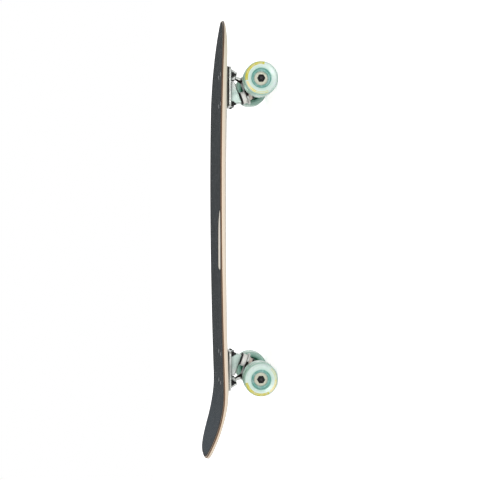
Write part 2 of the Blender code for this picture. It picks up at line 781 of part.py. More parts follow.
def hanger_shape(shop):
    """Barrel, ring, web and pivot stem in one casting, bored for the axle and open round the kingpin's nut."""
    half = HANGER_WIDTH / 2
    barrel = turned(
        "barrel",
        [
            (0, half),
            (BARREL_END_RADIUS - CAST_EDGE, half),
            (BARREL_END_RADIUS, half - CAST_EDGE),
            (BARREL_RADIUS, BARREL_WAIST),
            (BARREL_RADIUS, -BARREL_WAIST),
            (BARREL_END_RADIUS, -half + CAST_EDGE),
            (BARREL_END_RADIUS - CAST_EDGE, -half),
            (0, -half),
        ],
        ROUND_SEGMENTS,
        TO_LEFT,
    )
    ring = cylinder("ring", RING_RADIUS, -RING_START - RING_THICKNESS, -RING_START, ROUND_SEGMENTS, KINGPIN_FRAME)

    sunk = CAST_EDGE / 2
    upper_inner = SEAT + DOWN_KINGPIN * (RING_START + sunk)
    upper_outer = upper_inner + ALONG_SEAT * WEB_OUT
    lower_inner = SEAT + DOWN_KINGPIN * (RING_START + RING_THICKNESS - sunk)
    stem_side = PIVOT + STEM_DIRECTION * WEB_UP_STEM
    stem_half = STEM_ROOT_RADIUS / 2
    wrap = BARREL_RADIUS - WEB_WRAP_SINK
    around = [(wrap * math.cos(angle), wrap * math.sin(angle)) for angle in map(math.radians, WEB_WRAP_ANGLES)]
    web = side_prism(
        "web",
        [
            (upper_inner.x, upper_inner.z),
            (upper_outer.x, upper_outer.z),
            (stem_side.x - stem_half, stem_side.z),
            (stem_side.x + stem_half, stem_side.z),
            *around,
            (lower_inner.x, lower_inner.z),
        ],
        WEB_HALF_WIDTH,
    )
    stem = turned("stem", stem_profile(), ROUND_SEGMENTS, STEM_FRAME)
    shop.combine(barrel, "UNION", ring)
    shop.combine(barrel, "UNION", bevelled(web, CAST_EDGE))
    shop.combine(barrel, "UNION", stem)

    bore = cylinder("axle_bore", AXLE_RADIUS + GAP, -HANGER_WIDTH, HANGER_WIDTH, ROUND_SEGMENTS, TO_LEFT)
    shop.combine(barrel, "DIFFERENCE", bore)
    through = cylinder(
        "ring_bore", RING_HOLE_RADIUS, -RING_START - 2 * RING_THICKNESS, 0, ROUND_SEGMENTS, KINGPIN_FRAME
    )
    shop.combine(barrel, "DIFFERENCE", through)
    pocket = cylinder(
        "nut_pocket",
        max(ROAD_BUSHING_RADIUS, ROAD_WASHER_RADIUS) + LEAN_ROOM,
        -KINGPIN_TIP * 2,
        -RING_START - RING_THICKNESS + BUSHING_SEAT_DEPTH,
        ROUND_SEGMENTS,
        KINGPIN_FRAME @ Matrix.Scale(LEAN_ROOM_SIDEWAYS, 4, Vector((0, 1, 0))),
    )
    shop.combine(barrel, "DIFFERENCE", pocket)
    return shop.finished(barrel)


def stem_profile():
    """Pivot ball, neck and the stem that widens into the hanger."""
    profile = []
    steps = 4
    for step in range(steps + 1):
        angle = math.radians(90) * step / steps
        profile.append((PIVOT_BALL_RADIUS * math.sin(angle), PIVOT_BALL_RADIUS * math.cos(angle)))
    profile[0] = (0, PIVOT_BALL_RADIUS)
    profile.append((STEM_NECK_RADIUS, -STEM_NECK_LENGTH))
    profile.append((STEM_ROOT_RADIUS, -STEM_SPREAD_LENGTH))
    profile.append((STEM_ROOT_RADIUS, -STEM_LENGTH))
    profile.append((0, -STEM_LENGTH))
    return profile


def wheel_shape():
    """A wheel about its own centre, outer face up: a round tread, a sloped lip, a recess and a bearing seat each side."""
    half = WHEEL_WIDTH / 2
    seat = BEARING_RADIUS + GAP
    rib = BEARING_SPACING / 2 - GAP
    face = BEARING_SPACING / 2 + BEARING_WIDTH + GAP
    slope = half - WHEEL_FACE_SLOPE

    def side(recess):
        return [
            (seat, rib),
            (seat, face),
            (recess - WHEEL_RECESS_SLOPE, face),
            (recess, slope),
            (WHEEL_RADIUS - WHEEL_EDGE_DROP, half - WHEEL_LIP_INSET),
            (WHEEL_RADIUS - WHEEL_SHOULDER_DROP, half - WHEEL_SHOULDER_WIDTH),
            (WHEEL_RADIUS, half - WHEEL_EDGE_WIDTH),
        ]

    outer = side(WHEEL_RECESS_RADIUS)
    inner = [(radius, -height) for radius, height in side(WHEEL_INNER_RECESS_RADIUS)]
    rib_hole = [(WHEEL_RIB_HOLE_RADIUS, -rib), (WHEEL_RIB_HOLE_RADIUS, rib)]
    facet_down = Matrix.Rotation(math.pi / 2 - math.pi / WHEEL_SEGMENTS, 4, "Z")
    return turned("wheel", outer + inner[::-1] + rib_hole, WHEEL_SEGMENTS, facet_down)


def bearing_shape():
    """A bearing about its own middle."""
    half = BEARING_WIDTH / 2
    return ring_shape("bearing", BEARING_RADIUS, AXLE_RADIUS + GAP, -half, half)


def ring_shape(name, outer, bore, low, high):
    profile = [(outer, high), (outer, low), (bore, low), (bore, high)]
    return turned(name, profile, RING_SEGMENTS)


def truck_empties(shop, end, frame):
    """An empty on the steering axis at the ring's centre; what leans with the hanger is parented to it."""
    empty = bpy.data.objects.new(f"{end}_steering_axis", None)
    shop.parts.objects.link(empty)
    turn = Vector((0, 0, 1)).rotation_difference(STEERING_AXIS).to_matrix().to_4x4()
    empty.matrix_world = frame @ Matrix.Translation(RING_CENTRE) @ turn
    empty.empty_display_size = 0.03
    return empty, turn.inverted() @ Matrix.Translation(-RING_CENTRE)


def make_truck(shop, paints, shapes, end, axle_x, outward):
    frame = truck_frame(axle_x, outward)

    def fixed(shape, name, material):
        shop.place(shapes[shape].copy(), f"{end}_{name}", paints[material], matrix=frame)

    fixed("riser", "riser_pad", "black_rubber")
    fixed("baseplate", "baseplate", "cast_aluminium")
    fixed("pivot_cup", "pivot_cup", "cup_urethane")
    fixed("kingpin", "kingpin", "black_steel")
    fixed("kingpin_nut", "kingpin_nut", "black_steel")
    fixed("board_washer", "board_washer", "black_steel")
    fixed("board_bushing", "board_bushing", "bushing_urethane")
    fixed("road_bushing", "road_bushing", "bushing_urethane")
    fixed("road_washer", "road_washer", "black_steel")

    empty, to_empty = truck_empties(shop, end, frame)

    def leaning(shape, name, material, matrix=Matrix.Identity(4)):
        shop.place(shapes[shape].copy(), f"{end}_{name}", paints[material], empty, to_empty @ matrix)

    leaning("hanger", "hanger", "cast_aluminium")
    leaning("axle", "axle", "steel")
    for side, across in (("left", 1), ("right", -1)):
        seen_side = across * outward
        turn = TO_LEFT if seen_side > 0 else TO_RIGHT
        centre = Matrix.Translation((0, seen_side * WHEEL_CENTRE, 0)) @ turn
        leaning("wheel", f"{side}_wheel", "mint_urethane", centre)
        offset = BEARING_SPACING / 2 + BEARING_WIDTH / 2
        for where, shift in (("outer", offset), ("inner", -offset)):
            seat = centre @ Matrix.Translation((0, 0, shift))
            leaning("bearing", f"{side}_{where}_bearing", "bearing_shield", seat)
        hub = Matrix.Identity(4) @ turn
        leaning("speed_ring", f"{side}_speed_ring", "steel", hub)
        leaning("axle_nut", f"{side}_axle_nut", "black_steel", hub)


def make_shapes(shop):
    bore = KINGPIN_RADIUS + GAP
    shapes = {
        "riser": riser_shape(shop),
        "baseplate": baseplate_shape(shop),
        "pivot_cup": pivot_cup_shape(),
        "kingpin": kingpin_shape(shop),
        "kingpin_nut": nut_shape(
            shop,
            "kingpin_nut",
            KINGPIN_FLATS,
            -KINGPIN_NUT_START - KINGPIN_NUT_HEIGHT,
            -KINGPIN_NUT_START,
            bore,
            KINGPIN_FRAME,
        ),
        "board_washer": stack_ring(
            "board_washer", BOARD_WASHER_START, BOARD_WASHER_THICKNESS, BOARD_WASHER_RADIUS, bore
        ),
        "board_bushing": stack_ring(
            "board_bushing",
            BOARD_BUSHING_START,
            BOARD_BUSHING_HEIGHT,
            BOARD_BUSHING_RADIUS,
            bore,
            bulge=BUSHING_BULGE,
        ),
        "road_bushing": stack_ring(
            "road_bushing",
            ROAD_BUSHING_START,
            ROAD_BUSHING_HEIGHT,
            ROAD_BUSHING_RADIUS,
            bore,
            ROAD_BUSHING_TIP_RADIUS,
            BUSHING_BULGE,
        ),
        "road_washer": stack_ring("road_washer", ROAD_WASHER_START, ROAD_WASHER_THICKNESS, ROAD_WASHER_RADIUS, bore),
        "hanger": hanger_shape(shop),
        "axle": cylinder("axle", AXLE_RADIUS, -AXLE_TIP, AXLE_TIP, ROUND_SEGMENTS, TO_LEFT),
        "wheel": wheel_shape(),
        "bearing": bearing_shape(),
        "speed_ring": ring_shape(
            "speed_ring",
            SPEED_RING_RADIUS,
            AXLE_RADIUS + GAP,
            SPEED_RING_START,
            SPEED_RING_START + SPEED_RING_THICKNESS,
        ),
        "axle_nut": nut_shape(
            shop,
            "axle_nut",
            AXLE_NUT_FLATS,
            AXLE_NUT_START,
            AXLE_NUT_START + AXLE_NUT_HEIGHT,
            AXLE_RADIUS + GAP,
            Matrix.Identity(4),
        ),
    }
    smooth(shapes["axle"].data)
    return shapes


class Shape:
    """A finished mesh that each truck takes its own copy of."""

    def __init__(self, obj):
        self.mesh = obj.data
        bpy.data.objects.remove(obj, do_unlink=True)

    def copy(self):
        return bpy.data.objects.new("piece", self.mesh.copy())


def main():
    clear_scene()
    shop = Workshop()
    paints = {
        "maple": new_material("maple", (0.78, 0.63, 0.47), 0.45),
        "grip": new_material("grip", (0.055, 0.062, 0.068), 0.95),
        "black_rubber": new_material("black_rubber", (0.018, 0.016, 0.014), 0.7),
        "cast_aluminium": new_material("cast_aluminium", (0.72, 0.73, 0.72), 0.32, 1.0),
        "steel": new_material("steel", (0.62, 0.62, 0.62), 0.28, 1.0),
        "black_steel": new_material("black_steel", (0.02, 0.02, 0.022), 0.4, 1.0),
        "cup_urethane": new_material("cup_urethane", (0.03, 0.03, 0.03), 0.5),
        "bushing_urethane": new_material("bushing_urethane", (0.85, 0.84, 0.79), 0.35),
        "mint_urethane": new_material("mint_urethane", (0.42, 0.68, 0.58), 0.3),
        "bearing_shield": new_material("bearing_shield", (0.72, 0.69, 0.55), 0.35),
    }
    make_deck(shop, paints["maple"], paints["grip"])
    make_bolts(shop, paints["steel"], paints["black_steel"])
    shapes = {name: Shape(obj) for name, obj in make_shapes(shop).items()}
    for end, axle_x, outward in TRUCKS:
        make_truck(shop, paints, shapes, end, axle_x, outward)


main()
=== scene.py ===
"""Looks of the cruiser skateboard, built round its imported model.

Metres, in the model's frame: +X to the nose, +Y to the left, +Z up, with the wheels on the floor at zero.
"""

from math import copysign, cos, hypot, pi, radians, sin, sqrt, tan

import bmesh
import bpy
import numpy as np
from mathutils import Matrix, Vector
from mathutils.bvhtree import BVHTree


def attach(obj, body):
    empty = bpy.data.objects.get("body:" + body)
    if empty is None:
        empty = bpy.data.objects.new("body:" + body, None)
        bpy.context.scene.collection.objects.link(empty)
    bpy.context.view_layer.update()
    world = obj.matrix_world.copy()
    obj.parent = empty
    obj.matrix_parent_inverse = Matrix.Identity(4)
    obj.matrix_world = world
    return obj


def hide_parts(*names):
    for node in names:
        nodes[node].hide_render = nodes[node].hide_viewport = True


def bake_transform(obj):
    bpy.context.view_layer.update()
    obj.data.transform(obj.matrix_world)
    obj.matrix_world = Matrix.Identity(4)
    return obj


# Camera, fitted to the photograph
CAMERA_PLACE = (0.0259, -1.8368, 0.2546)
CAMERA_PITCH = radians(-6.08)
CAMERA_YAW = radians(-0.85)
CAMERA_LENS = 73.9

# Light and floor
WORLD_LIGHT = 0.78
LIGHT_AIM = (0, 0, 0.03)
FLOOR_SIZE = 12.0
FLOOR_TONE = 0.9
FLOOR_GLOW = 0.66

# Each light's name, place, size and power
LIGHTS = (("key", (-0.9, -1.9, 2.2), 1.8, 10.0), ("fill", (0.15, -2.5, 0.45), 0.8, 19.0))

# Deck, as in the model
DECK_LENGTH = 0.8128
FRONT_HALF_WIDTH = 0.1175
TAIL_HALF_WIDTH = 0.1100
DECK_THICKNESS = 0.0104
DECK_EDGE_THINNER = 0.0016
DECK_EDGE_ROUND = 0.0022
NOSE_TAPER = 0.160
NOSE_FULLNESS = 1.90
TAIL_TAPER = 0.198
TAIL_FULLNESS = 3.05
NOSE_DROP = 0.0018
NOSE_DROP_LENGTH = 0.100
NOSE_THINNING = 0.71
NOSE_THINNING_LENGTH = 0.085
TAIL_THINNING = 0.24
KICK_START = 0.667
KICK_RADIUS = 0.300
KICK_ANGLE = radians(19.1)
FLAT_HALF_WIDTH = 0.029
MIDDLE_FLAT_HALF_WIDTH = 0.008
FLAT_REACH = 0.048
CONCAVE = 0.0088
CONCAVE_START = -0.060
CONCAVE_DEEPEST = 0.310
CONCAVE_END = 0.700
TAIL_CONCAVE = 0.0018
CONCAVE_POWER = 1.15
FRONT_AXLE_FROM_NOSE = 0.1181
REAR_AXLE_FROM_NOSE = 0.6562
GRIP_THICKNESS = 0.0008
GRIP_MARGIN = 0.0022
WINDOW_LENGTH = 0.112
WINDOW_WIDTH = 0.054
WINDOW_CORNER = 0.008
WINDOW_FROM_NOSE = 0.407
GAP = 0.0003

# How finely the board's outline is drawn
OUTLINE_POINTS = 170
TIP_REACH = 0.100
BOARD_RINGS = (0.93, 0.84, 0.73, 0.60, 0.46, 0.31, 0.16)
BOARD_CREASE = 40
EDGE_STEPS = 4
ARCH_STEPS = 12
CORNER_STEPS = 6
CUP_STEPS = 12
CUT_REACH = 0.02

# Trucks, as in the model
AXLE_HEIGHT = 0.03083
TRUCK_HEIGHT = 0.0514
RISER_THICKNESS = 0.0030
BASE_THICKNESS = 0.0043
BASE_LENGTH = 0.0735
BASE_WIDTH = 0.0560
BASE_INSET = 0.0054
BASE_CORNER = 0.0055
PIVOT_OUT = 0.0140
PIVOT_HEIGHT = 0.0395
PIVOT_BALL_RADIUS = 0.0042
CUP_WALL = 0.0021
CUP_FLOOR = 0.0013
CUP_MOUTH = 0.0030
CUP_FLARE = 0.0011
STEM_AIM_INSET = 0.0030
KINGPIN_LEAN = radians(20)
SEAT_INSET = 0.0259
SEAT_HEIGHT = 0.0282
BOLT_INSET = 0.0106
BOLT_SPACING = 0.0540
BOLT_ROW_SPACING = 0.0413
BOLT_RADIUS = 0.0024
BOLT_HEAD_RADIUS = 0.0047
BOLT_HEAD_DEPTH = 0.0034
BOLT_HEAD_SUNK = 0.0002
BOLT_END = 0.0030
LOCK_NUT_FLATS = 0.0095
LOCK_NUT_HEIGHT = 0.0060
KINGPIN_RADIUS = 0.00475
KINGPIN_FLATS = 0.0127
KINGPIN_HEAD_RISE = 0.0150
KINGPIN_HEAD_HEIGHT = 0.0052
KINGPIN_NUT_HEIGHT = 0.0070
KINGPIN_END = 0.0015
RING_THICKNESS = 0.0038
BUSHING_SEAT_DEPTH = 0.0006
HANGER_HALF = 0.0640
AXLE_RADIUS = 0.0040
AXLE_NUT_FLATS = 0.0127
AXLE_NUT_HEIGHT = 0.0065
AXLE_END = 0.0005
SPEED_RING_THICKNESS = 0.0009
SPEED_RING_RADIUS = 0.0062
BEARING_RADIUS = 0.0110
BEARING_WIDTH = 0.0070
BEARING_SPACING = 0.0100
WHEEL_WIDTH = 0.0430
WHEEL_EDGE_WIDTH = 0.0080
WHEEL_SHOULDER_WIDTH = 0.0036
WHEEL_SHOULDER_DROP = 0.0008
WHEEL_LIP_INSET = 0.0005
WHEEL_FACE_SLOPE = 0.0022
WHEEL_RECESS_RADIUS = 0.0180
WHEEL_RECESS_SLOPE = 0.0015
WHEEL_INNER_RECESS_RADIUS = 0.0205
WHEEL_RIB_HOLE_RADIUS = 0.0075
CORE_RADIUS = 0.0124

# Details that only the looks have; a thread is its depth and pitch
DRIVER_LENGTH = 0.0056
DRIVER_WIDTH = 0.0011
DRIVER_DEPTH = 0.0018
BOLT_THREAD = (0.0002, 0.0008)
KINGPIN_THREAD = (0.0004, 0.0011)
AXLE_THREAD = (0.0003, 0.0010)
NUT_COLLAR = 0.0020
RISER_SOFTNESS = 0.0004
RACE_WALL = 0.0016
SHIELD_INNER_RADIUS = 0.0061
SHIELD_SLOPE = 0.0002
SHIELD_DEPTH = 0.0005
CASTING_VOXEL = 0.0006
CASTING_KEPT = 0.35
BASE_EASING = 6
HANGER_EASING = 10
HOLLOW_START = 0.0004
HOLLOW_REACH = 0.0085
HOLLOW_RAYS = 40
# Where a reflection of the mint wheels is painted on a baseplate's block, and how far painted shade reaches
# over its washer
REFLECTION_START = -0.006
REFLECTION_FADE = 0.004
REFLECTION_DROP = 0.0015
SEAT_SHADE_REACH = 0.0014
# The painted shade on a hanger
DARK_HALF_WIDTH = 0.0165
DARK_FADE = 0.0006
DARK_END_FADE = 0.0008

NOSE_X = DECK_LENGTH / 2
BASE_TOP = TRUCK_HEIGHT
DECK_BOTTOM = BASE_TOP + GAP + RISER_THICKNESS + GAP
DECK_TOP = DECK_BOTTOM + DECK_THICKNESS
GRIP_BOTTOM = DECK_TOP + GAP
GRIP_TOP = GRIP_BOTTOM + GRIP_THICKNESS
WHEEL_CENTRE = HANGER_HALF + GAP + BEARING_WIDTH + BEARING_SPACING / 2
SPEED_RING_START = WHEEL_CENTRE + BEARING_SPACING / 2 + BEARING_WIDTH + GAP
AXLE_NUT_START = SPEED_RING_START + SPEED_RING_THICKNESS + GAP
AXLE_TIP = AXLE_NUT_START + AXLE_NUT_HEIGHT + AXLE_END
HEAD_TOP = GRIP_TOP - BOLT_HEAD_SUNK
LOCK_NUT_TOP = BASE_TOP - BASE_THICKNESS - GAP
BOLT_TIP = LOCK_NUT_TOP - LOCK_NUT_HEIGHT - BOLT_END

# The rings on each kingpin, from its seat down: thickness, radius at either end, rounding and bulge
STACK = {
    "board_washer": (0.0026, 0.0120, 0.0120, 0.0006, 0.0),
    "board_bushing": (0.0084, 0.0112, 0.0112, 0.0008, 0.0003),
    "road_bushing": (0.0075, 0.0090, 0.0076, 0.0008, 0.0003),
    "road_washer": (0.0015, 0.0086, 0.0086, 0.0004, 0.0),
}

# How far under the seat each of them starts; the hanger's ring is between the two bushings
STACK_STARTS = {}
depth = GAP
for name, (thickness, *_) in STACK.items():
    if name == "road_bushing":
        depth += RING_THICKNESS - BUSHING_SEAT_DEPTH + GAP
    STACK_STARTS[name] = depth
    depth += thickness + GAP
KINGPIN_NUT_START = depth
KINGPIN_TIP = KINGPIN_NUT_START + KINGPIN_NUT_HEIGHT + KINGPIN_END

# The painted shade on the side of a hanger that faces the board, in its truck's own X and Z:
# points, and how far the shade reaches round each
DARK_LINE = (
    ((-0.0190, 0.0165), 0.0034),
    ((-0.0110, 0.0205), 0.0060),
    ((-0.0035, 0.0245), 0.0070),
    ((0.0035, 0.0285), 0.0048),
    ((0.0085, 0.0345), 0.0018),
)

# Each truck's name, where its axle is, and which way it faces
TRUCKS = (("front", NOSE_X - FRONT_AXLE_FROM_NOSE, 1), ("rear", NOSE_X - REAR_AXLE_FROM_NOSE, -1))
SIDES = (("left", 1), ("right", -1))

# How far each wheel's print is turned, in degrees
PRINT_TURNS = {("front", "left"): 140, ("front", "right"): -30, ("rear", "left"): 250, ("rear", "right"): 82}

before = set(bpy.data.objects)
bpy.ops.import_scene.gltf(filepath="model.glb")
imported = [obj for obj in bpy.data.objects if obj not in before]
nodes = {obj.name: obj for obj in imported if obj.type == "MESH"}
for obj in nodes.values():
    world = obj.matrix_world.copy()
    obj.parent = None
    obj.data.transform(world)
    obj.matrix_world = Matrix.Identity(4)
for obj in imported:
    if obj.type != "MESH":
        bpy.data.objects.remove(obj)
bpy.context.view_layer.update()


def truck_matrix(axle_x, outward):
    """From a truck's own frame, with its axle at the middle and its outer end ahead, to the model's."""
    turn = Matrix.Rotation(0 if outward > 0 else pi, 4, "Z")
    return Matrix.Translation((axle_x, 0, AXLE_HEIGHT)) @ turn


KINGPIN_FRAME = Matrix.Translation((-SEAT_INSET, 0, SEAT_HEIGHT)) @ Matrix.Rotation(-KINGPIN_LEAN, 4, "Y")


# Materials


def srgb(*values):
    """The linear colour of an sRGB one given from 0 to 255."""
    shares = [value / 255 for value in values]
    linear = [share / 12.92 if share <= 0.04045 else ((share + 0.055) / 1.055) ** 2.4 for share in shares]
    return (*linear, 1.0)


class Wiring:
    """A node tree with short ways to add nodes to it."""

    def __init__(self, tree):
        self.tree = tree

    def feed(self, socket, value):
        if isinstance(value, bpy.types.NodeSocket):
            self.tree.links.new(value, socket)
        else:
            socket.default_value = value

    def node(self, kind, inputs=None, **settings):
        node = self.tree.nodes.new("ShaderNode" + kind)
        for name, value in settings.items():
            setattr(node, name, value)
        for name, value in (inputs or {}).items():
            self.feed(node.inputs[name], value)
        return node

    def math(self, operation, *values):
        return self.node("Math", dict(enumerate(values)), operation=operation).outputs[0]

    def times(self, first, second):
        return self.math("MULTIPLY", first, second)

    def span(self, value, low, high, to_low=0.0, to_high=1.0):
        """Value moved from one range to another, and held at its ends."""
        inputs = {0: value, 1: low, 2: high, 3: to_low, 4: to_high}
        return self.node("MapRange", inputs, clamp=True).outputs[0]

    def seen_directly(self):
        """1 for what the camera sees, also in a shine or through glass, and 0 for light on things."""
        path = self.node("LightPath").outputs
        seen = path["Is Camera Ray"]
        for name in ("Is Glossy Ray", "Is Transmission Ray"):
            seen = self.math("MAXIMUM", seen, path[name])
        return seen


class Paint(Wiring):
    """A material round one Principled shader."""

    def __init__(self, name, metallic=0.0, specular=0.5):
        self.material = bpy.data.materials.new(name)
        self.material.use_nodes = True
        super().__init__(self.material.node_tree)
        self.shader = self.tree.nodes["Principled BSDF"]
        self.set("Metallic", metallic)
        self.set("Specular IOR Level", specular)

    def set(self, name, value):
        self.feed(self.shader.inputs[name], value)

    def mix(self, share, first, second):
        """A mix of two colours, each a socket or its sRGB values from 0 to 255."""
        first, second = (srgb(*tone) if isinstance(tone, tuple) else tone for tone in (first, second))
        inputs = {0: share, 6: first, 7: second}
        return self.node("Mix", inputs, data_type="RGBA").outputs[2]

    def lay(self, share, tone):
        """Lays a tone over the colour so far."""
        self.colour = self.mix(share, self.colour, tone)

    def place(self):
        return self.node("TexCoord").outputs["Object"]

    def parts(self, vector):
        """A vector's three coordinates."""
        return self.node("SeparateXYZ", {0: vector}).outputs

    def stretched(self, scale):
        return self.node("VectorMath", {0: self.place(), 1: scale}, operation="MULTIPLY").outputs[0]

    def noise(self, scale, detail, vector=None, roughness=0.5):
        inputs = {"Vector": vector or self.place(), "Scale": scale, "Detail": detail, "Roughness": roughness}
        return self.node("TexNoise", inputs).outputs["Fac"]

    def band(self, value, low, high, soft):
        """1 between low and high, 0 outside, with soft edges."""
        fall = self.span(value, high - soft, high + soft, 1.0, 0.0)
        return self.times(self.span(value, low - soft, low + soft), fall)

    def attribute(self, name):
        return self.node("Attribute", attribute_name=name).outputs["Fac"]

    def ramp(self, value, stops, steps=False):
        """Colours by value, given from 0 to 255, that change evenly or in steps."""
        node = self.node("ValToRGB", {"Fac": value})
        ramp = node.color_ramp
        ramp.interpolation = "CONSTANT" if steps else "LINEAR"
        while len(ramp.elements) < len(stops):
            ramp.elements.new(0.5)
        for element, (place, colour) in zip(ramp.elements, stops):
            element.position = place
            element.color = srgb(*colour)
        return node.outputs["Color"]

    def finished(self, height, distance, strength):
        """The material with its colour and a fine relief."""
        self.set("Base Color", self.colour)
        inputs = {"Height": height, "Distance": distance, "Strength": strength}
        self.set("Normal", self.node("Bump", inputs).outputs["Normal"])
        return self.material


# The tones of the plies, from the top one down
PLIES = (
    (218, 198, 172),
    (214, 194, 170),
    (216, 199, 178),
    (210, 196, 178),
    (213, 204, 189),
    (212, 206, 194),
    (219, 216, 207),
)


def maple():
    """Pressed maple: seven plies show on the edge by their depth, and grain runs along the faces.

    The edge is greyer at the nose and low on the tail, scuffed at the tail's tip, and deep brown under its
    upper rim, almost black towards the nose. The face under the grip tape, which its cut-out shows, is
    paler.
    """
    paint = Paint("maple_lacquered", 0.0, 0.22)
    depth = paint.attribute("depth")
    ply = paint.times(depth, len(PLIES))
    which = paint.math("FLOOR", paint.math("MINIMUM", ply, len(PLIES) - 0.01))
    stops = [(0.14 * number, tone) for number, tone in enumerate(PLIES)]
    plies = paint.ramp(paint.math("DIVIDE", which, len(PLIES)), stops, steps=True)
    streaks = paint.noise(1.0, 4.0, paint.stretched((9.0, 160.0, 420.0)), 0.62)
    broad = paint.noise(1.0, 2.0, paint.stretched((3.0, 34.0, 34.0)))
    paint.colour = paint.mix(paint.span(streaks, 0.30, 0.72, 0.0, 0.34), plies, (206, 178, 146))
    paint.lay(paint.span(broad, 0.35, 0.70, 0.0, 0.22), (238, 226, 208))
    within = paint.math("FRACT", ply)
    glue = paint.math("ADD", paint.span(within, 0.0, 0.06, 1.0, 0.0), paint.span(within, 0.94, 1.0))
    glue = paint.times(glue, paint.band(depth, 0.08, 0.95, 0.01))
    paint.lay(paint.times(glue, 0.30), (150, 118, 88))
    along = paint.parts(paint.place())[0]
    greyer = paint.times(paint.span(along, 0.16, 0.30), paint.span(depth, 0.10, 0.60, 0.2, 0.55))
    paint.lay(greyer, (192, 192, 172))
    to_tail = paint.span(along, -0.34, -0.20, 1.0, 0.0)
    paint.lay(paint.times(to_tail, paint.span(depth, 0.45, 0.90, 0.0, 0.6)), (200, 192, 184))
    scuffed = paint.span(along, -0.403, -0.396, 0.8, 0.0)
    paint.lay(scuffed, (192, 188, 186))
    paint.lay(paint.span(depth, 0.0, 0.01, 0.65, 0.0), (226, 222, 210))
    # A brown band under the upper rim, almost black towards the nose, with a paler brown fringe
    to_nose = paint.span(along, 0.29, 0.40)
    reach = paint.math("ADD", paint.times(to_nose, 0.08), 0.22)
    rim_band = paint.times(paint.span(depth, 0.0, 0.04), paint.math("LESS_THAN", depth, reach))
    fringe = paint.band(paint.math("SUBTRACT", reach, depth), 0.0, 0.08, 0.01)
    brown = paint.mix(to_nose, (84, 60, 42), (30, 24, 19))
    brown = paint.mix(fringe, brown, (112, 74, 46))
    paint.lay(paint.times(rim_band, paint.math("SUBTRACT", 1.0, scuffed)), brown)
    paint.set("Roughness", paint.span(streaks, 0.2, 0.8, 0.36, 0.52))
    paint.set("Coat Weight", 0.06)
    paint.set("Coat Roughness", 0.25)
    return paint.finished(streaks, 0.00012, 0.5)


def grit():
    """Charcoal grip tape: fine grains, a few painted bright as glints, bluish at the tail and browner at its
    edge.
    """
    paint = Paint("grip_grit", 0.0, 0.12)
    paint.set("Roughness", 0.95)
    cells = paint.node("TexVoronoi", {"Vector": paint.place(), "Scale": 1900.0})
    tone = paint.node("SeparateColor", {"Color": cells.outputs["Color"]}).outputs[0]
    paint.colour = paint.mix(tone, (34, 38, 40), (78, 82, 84))
    patches = paint.noise(26.0, 3.0)
    paint.lay(paint.span(patches, 0.38, 0.66, 0.0, 0.35), (52, 55, 56))
    tail = paint.span(paint.parts(paint.place())[0], -0.36, -0.24, 0.45, 0.0)
    paint.lay(tail, (86, 95, 103))
    speckle = paint.noise(330.0, 2.0)
    paint.lay(paint.span(speckle, 0.58, 0.70, 0.0, 0.55), (88, 92, 94))
    paint.lay(paint.span(speckle, 0.42, 0.30, 0.0, 0.55), (26, 29, 30))
    # A few grains painted bright: a painted glint
    paint.lay(paint.span(tone, 0.985, 1.0), (150, 152, 154))
    # Browner towards the edge of the tape
    paint.lay(paint.span(paint.attribute("rim"), 0.35, 0.95, 0.0, 0.65), (66, 52, 40))
    return paint.finished(paint.span(cells.outputs["Distance"], 0.0, 0.6, 1.0, 0.0), 0.00035, 0.9)


def cast_metal():
    """Cast aluminium with a tumbled skin, with painted shade in hollows, a painted reflection of the mint
    wheels and near-black painted shade where marked.
    """
    paint = Paint("cast_aluminium", 0.85)
    skin = paint.noise(1500.0, 3.0)
    clouds = paint.span(paint.noise(60.0, 3.0), 0.35, 0.7)
    grey = paint.mix(clouds, (192, 194, 191), (160, 163, 160))
    # A painted reflection of the mint wheels, laid where the baseplate's block is marked
    green = paint.mix(clouds, (172, 186, 180), (140, 158, 151))
    paint.colour = paint.mix(paint.attribute("tint_and_painted_reflection"), grey, green)
    # Painted shade in hollows
    paint.lay(paint.span(paint.attribute("hollow_shade"), 0.14, 0.56, 0.0, 0.88), (66, 68, 66))
    # Near-black painted shade where a baseplate or hanger is marked
    paint.lay(paint.attribute("painted_shade"), (40, 32, 30))
    paint.set("Roughness", paint.span(skin, 0.3, 0.7, 0.24, 0.40))
    return paint.finished(skin, 0.00006, 0.5)


def plain(name, colour, darker, scale, roughness, metallic=0.0, bump=0.00004, specular=0.5):
    """A surface of two close tones with a fine uneven skin."""
    paint = Paint(name, metallic, specular)
    fine = paint.noise(scale, 3.0)
    broad = paint.noise(scale / 9, 2.0)
    share = paint.math("ADD", paint.span(fine, 0.3, 0.7, 0.0, 0.6), paint.span(broad, 0.3, 0.7, 0.0, 0.4))
    paint.colour = paint.mix(share, colour, darker)
    paint.set("Roughness", paint.span(fine, 0.3, 0.7, max(roughness - 0.06, 0.02), roughness + 0.08))
    return paint.finished(fine, bump, 0.6)


# The print on each wheel's face: from and to, in turns, inner and outer radius, and colour
OLIVE = (190, 184, 48)
CREAM = (226, 214, 160)
SILVER = (172, 188, 188)
YELLOW = (206, 198, 62)
PRINT = (
    (0.050, 0.360, 0.0242, 0.0293, OLIVE),
    (0.090, 0.300, 0.0262, 0.0267, CREAM),
    (0.372, 0.520, 0.0242, 0.0284, CREAM),
    (0.455, 0.660, 0.0246, 0.0254, YELLOW),
    (0.455, 0.660, 0.0271, 0.0280, YELLOW),
    (0.700, 0.980, 0.0262, 0.0268, SILVER),
)

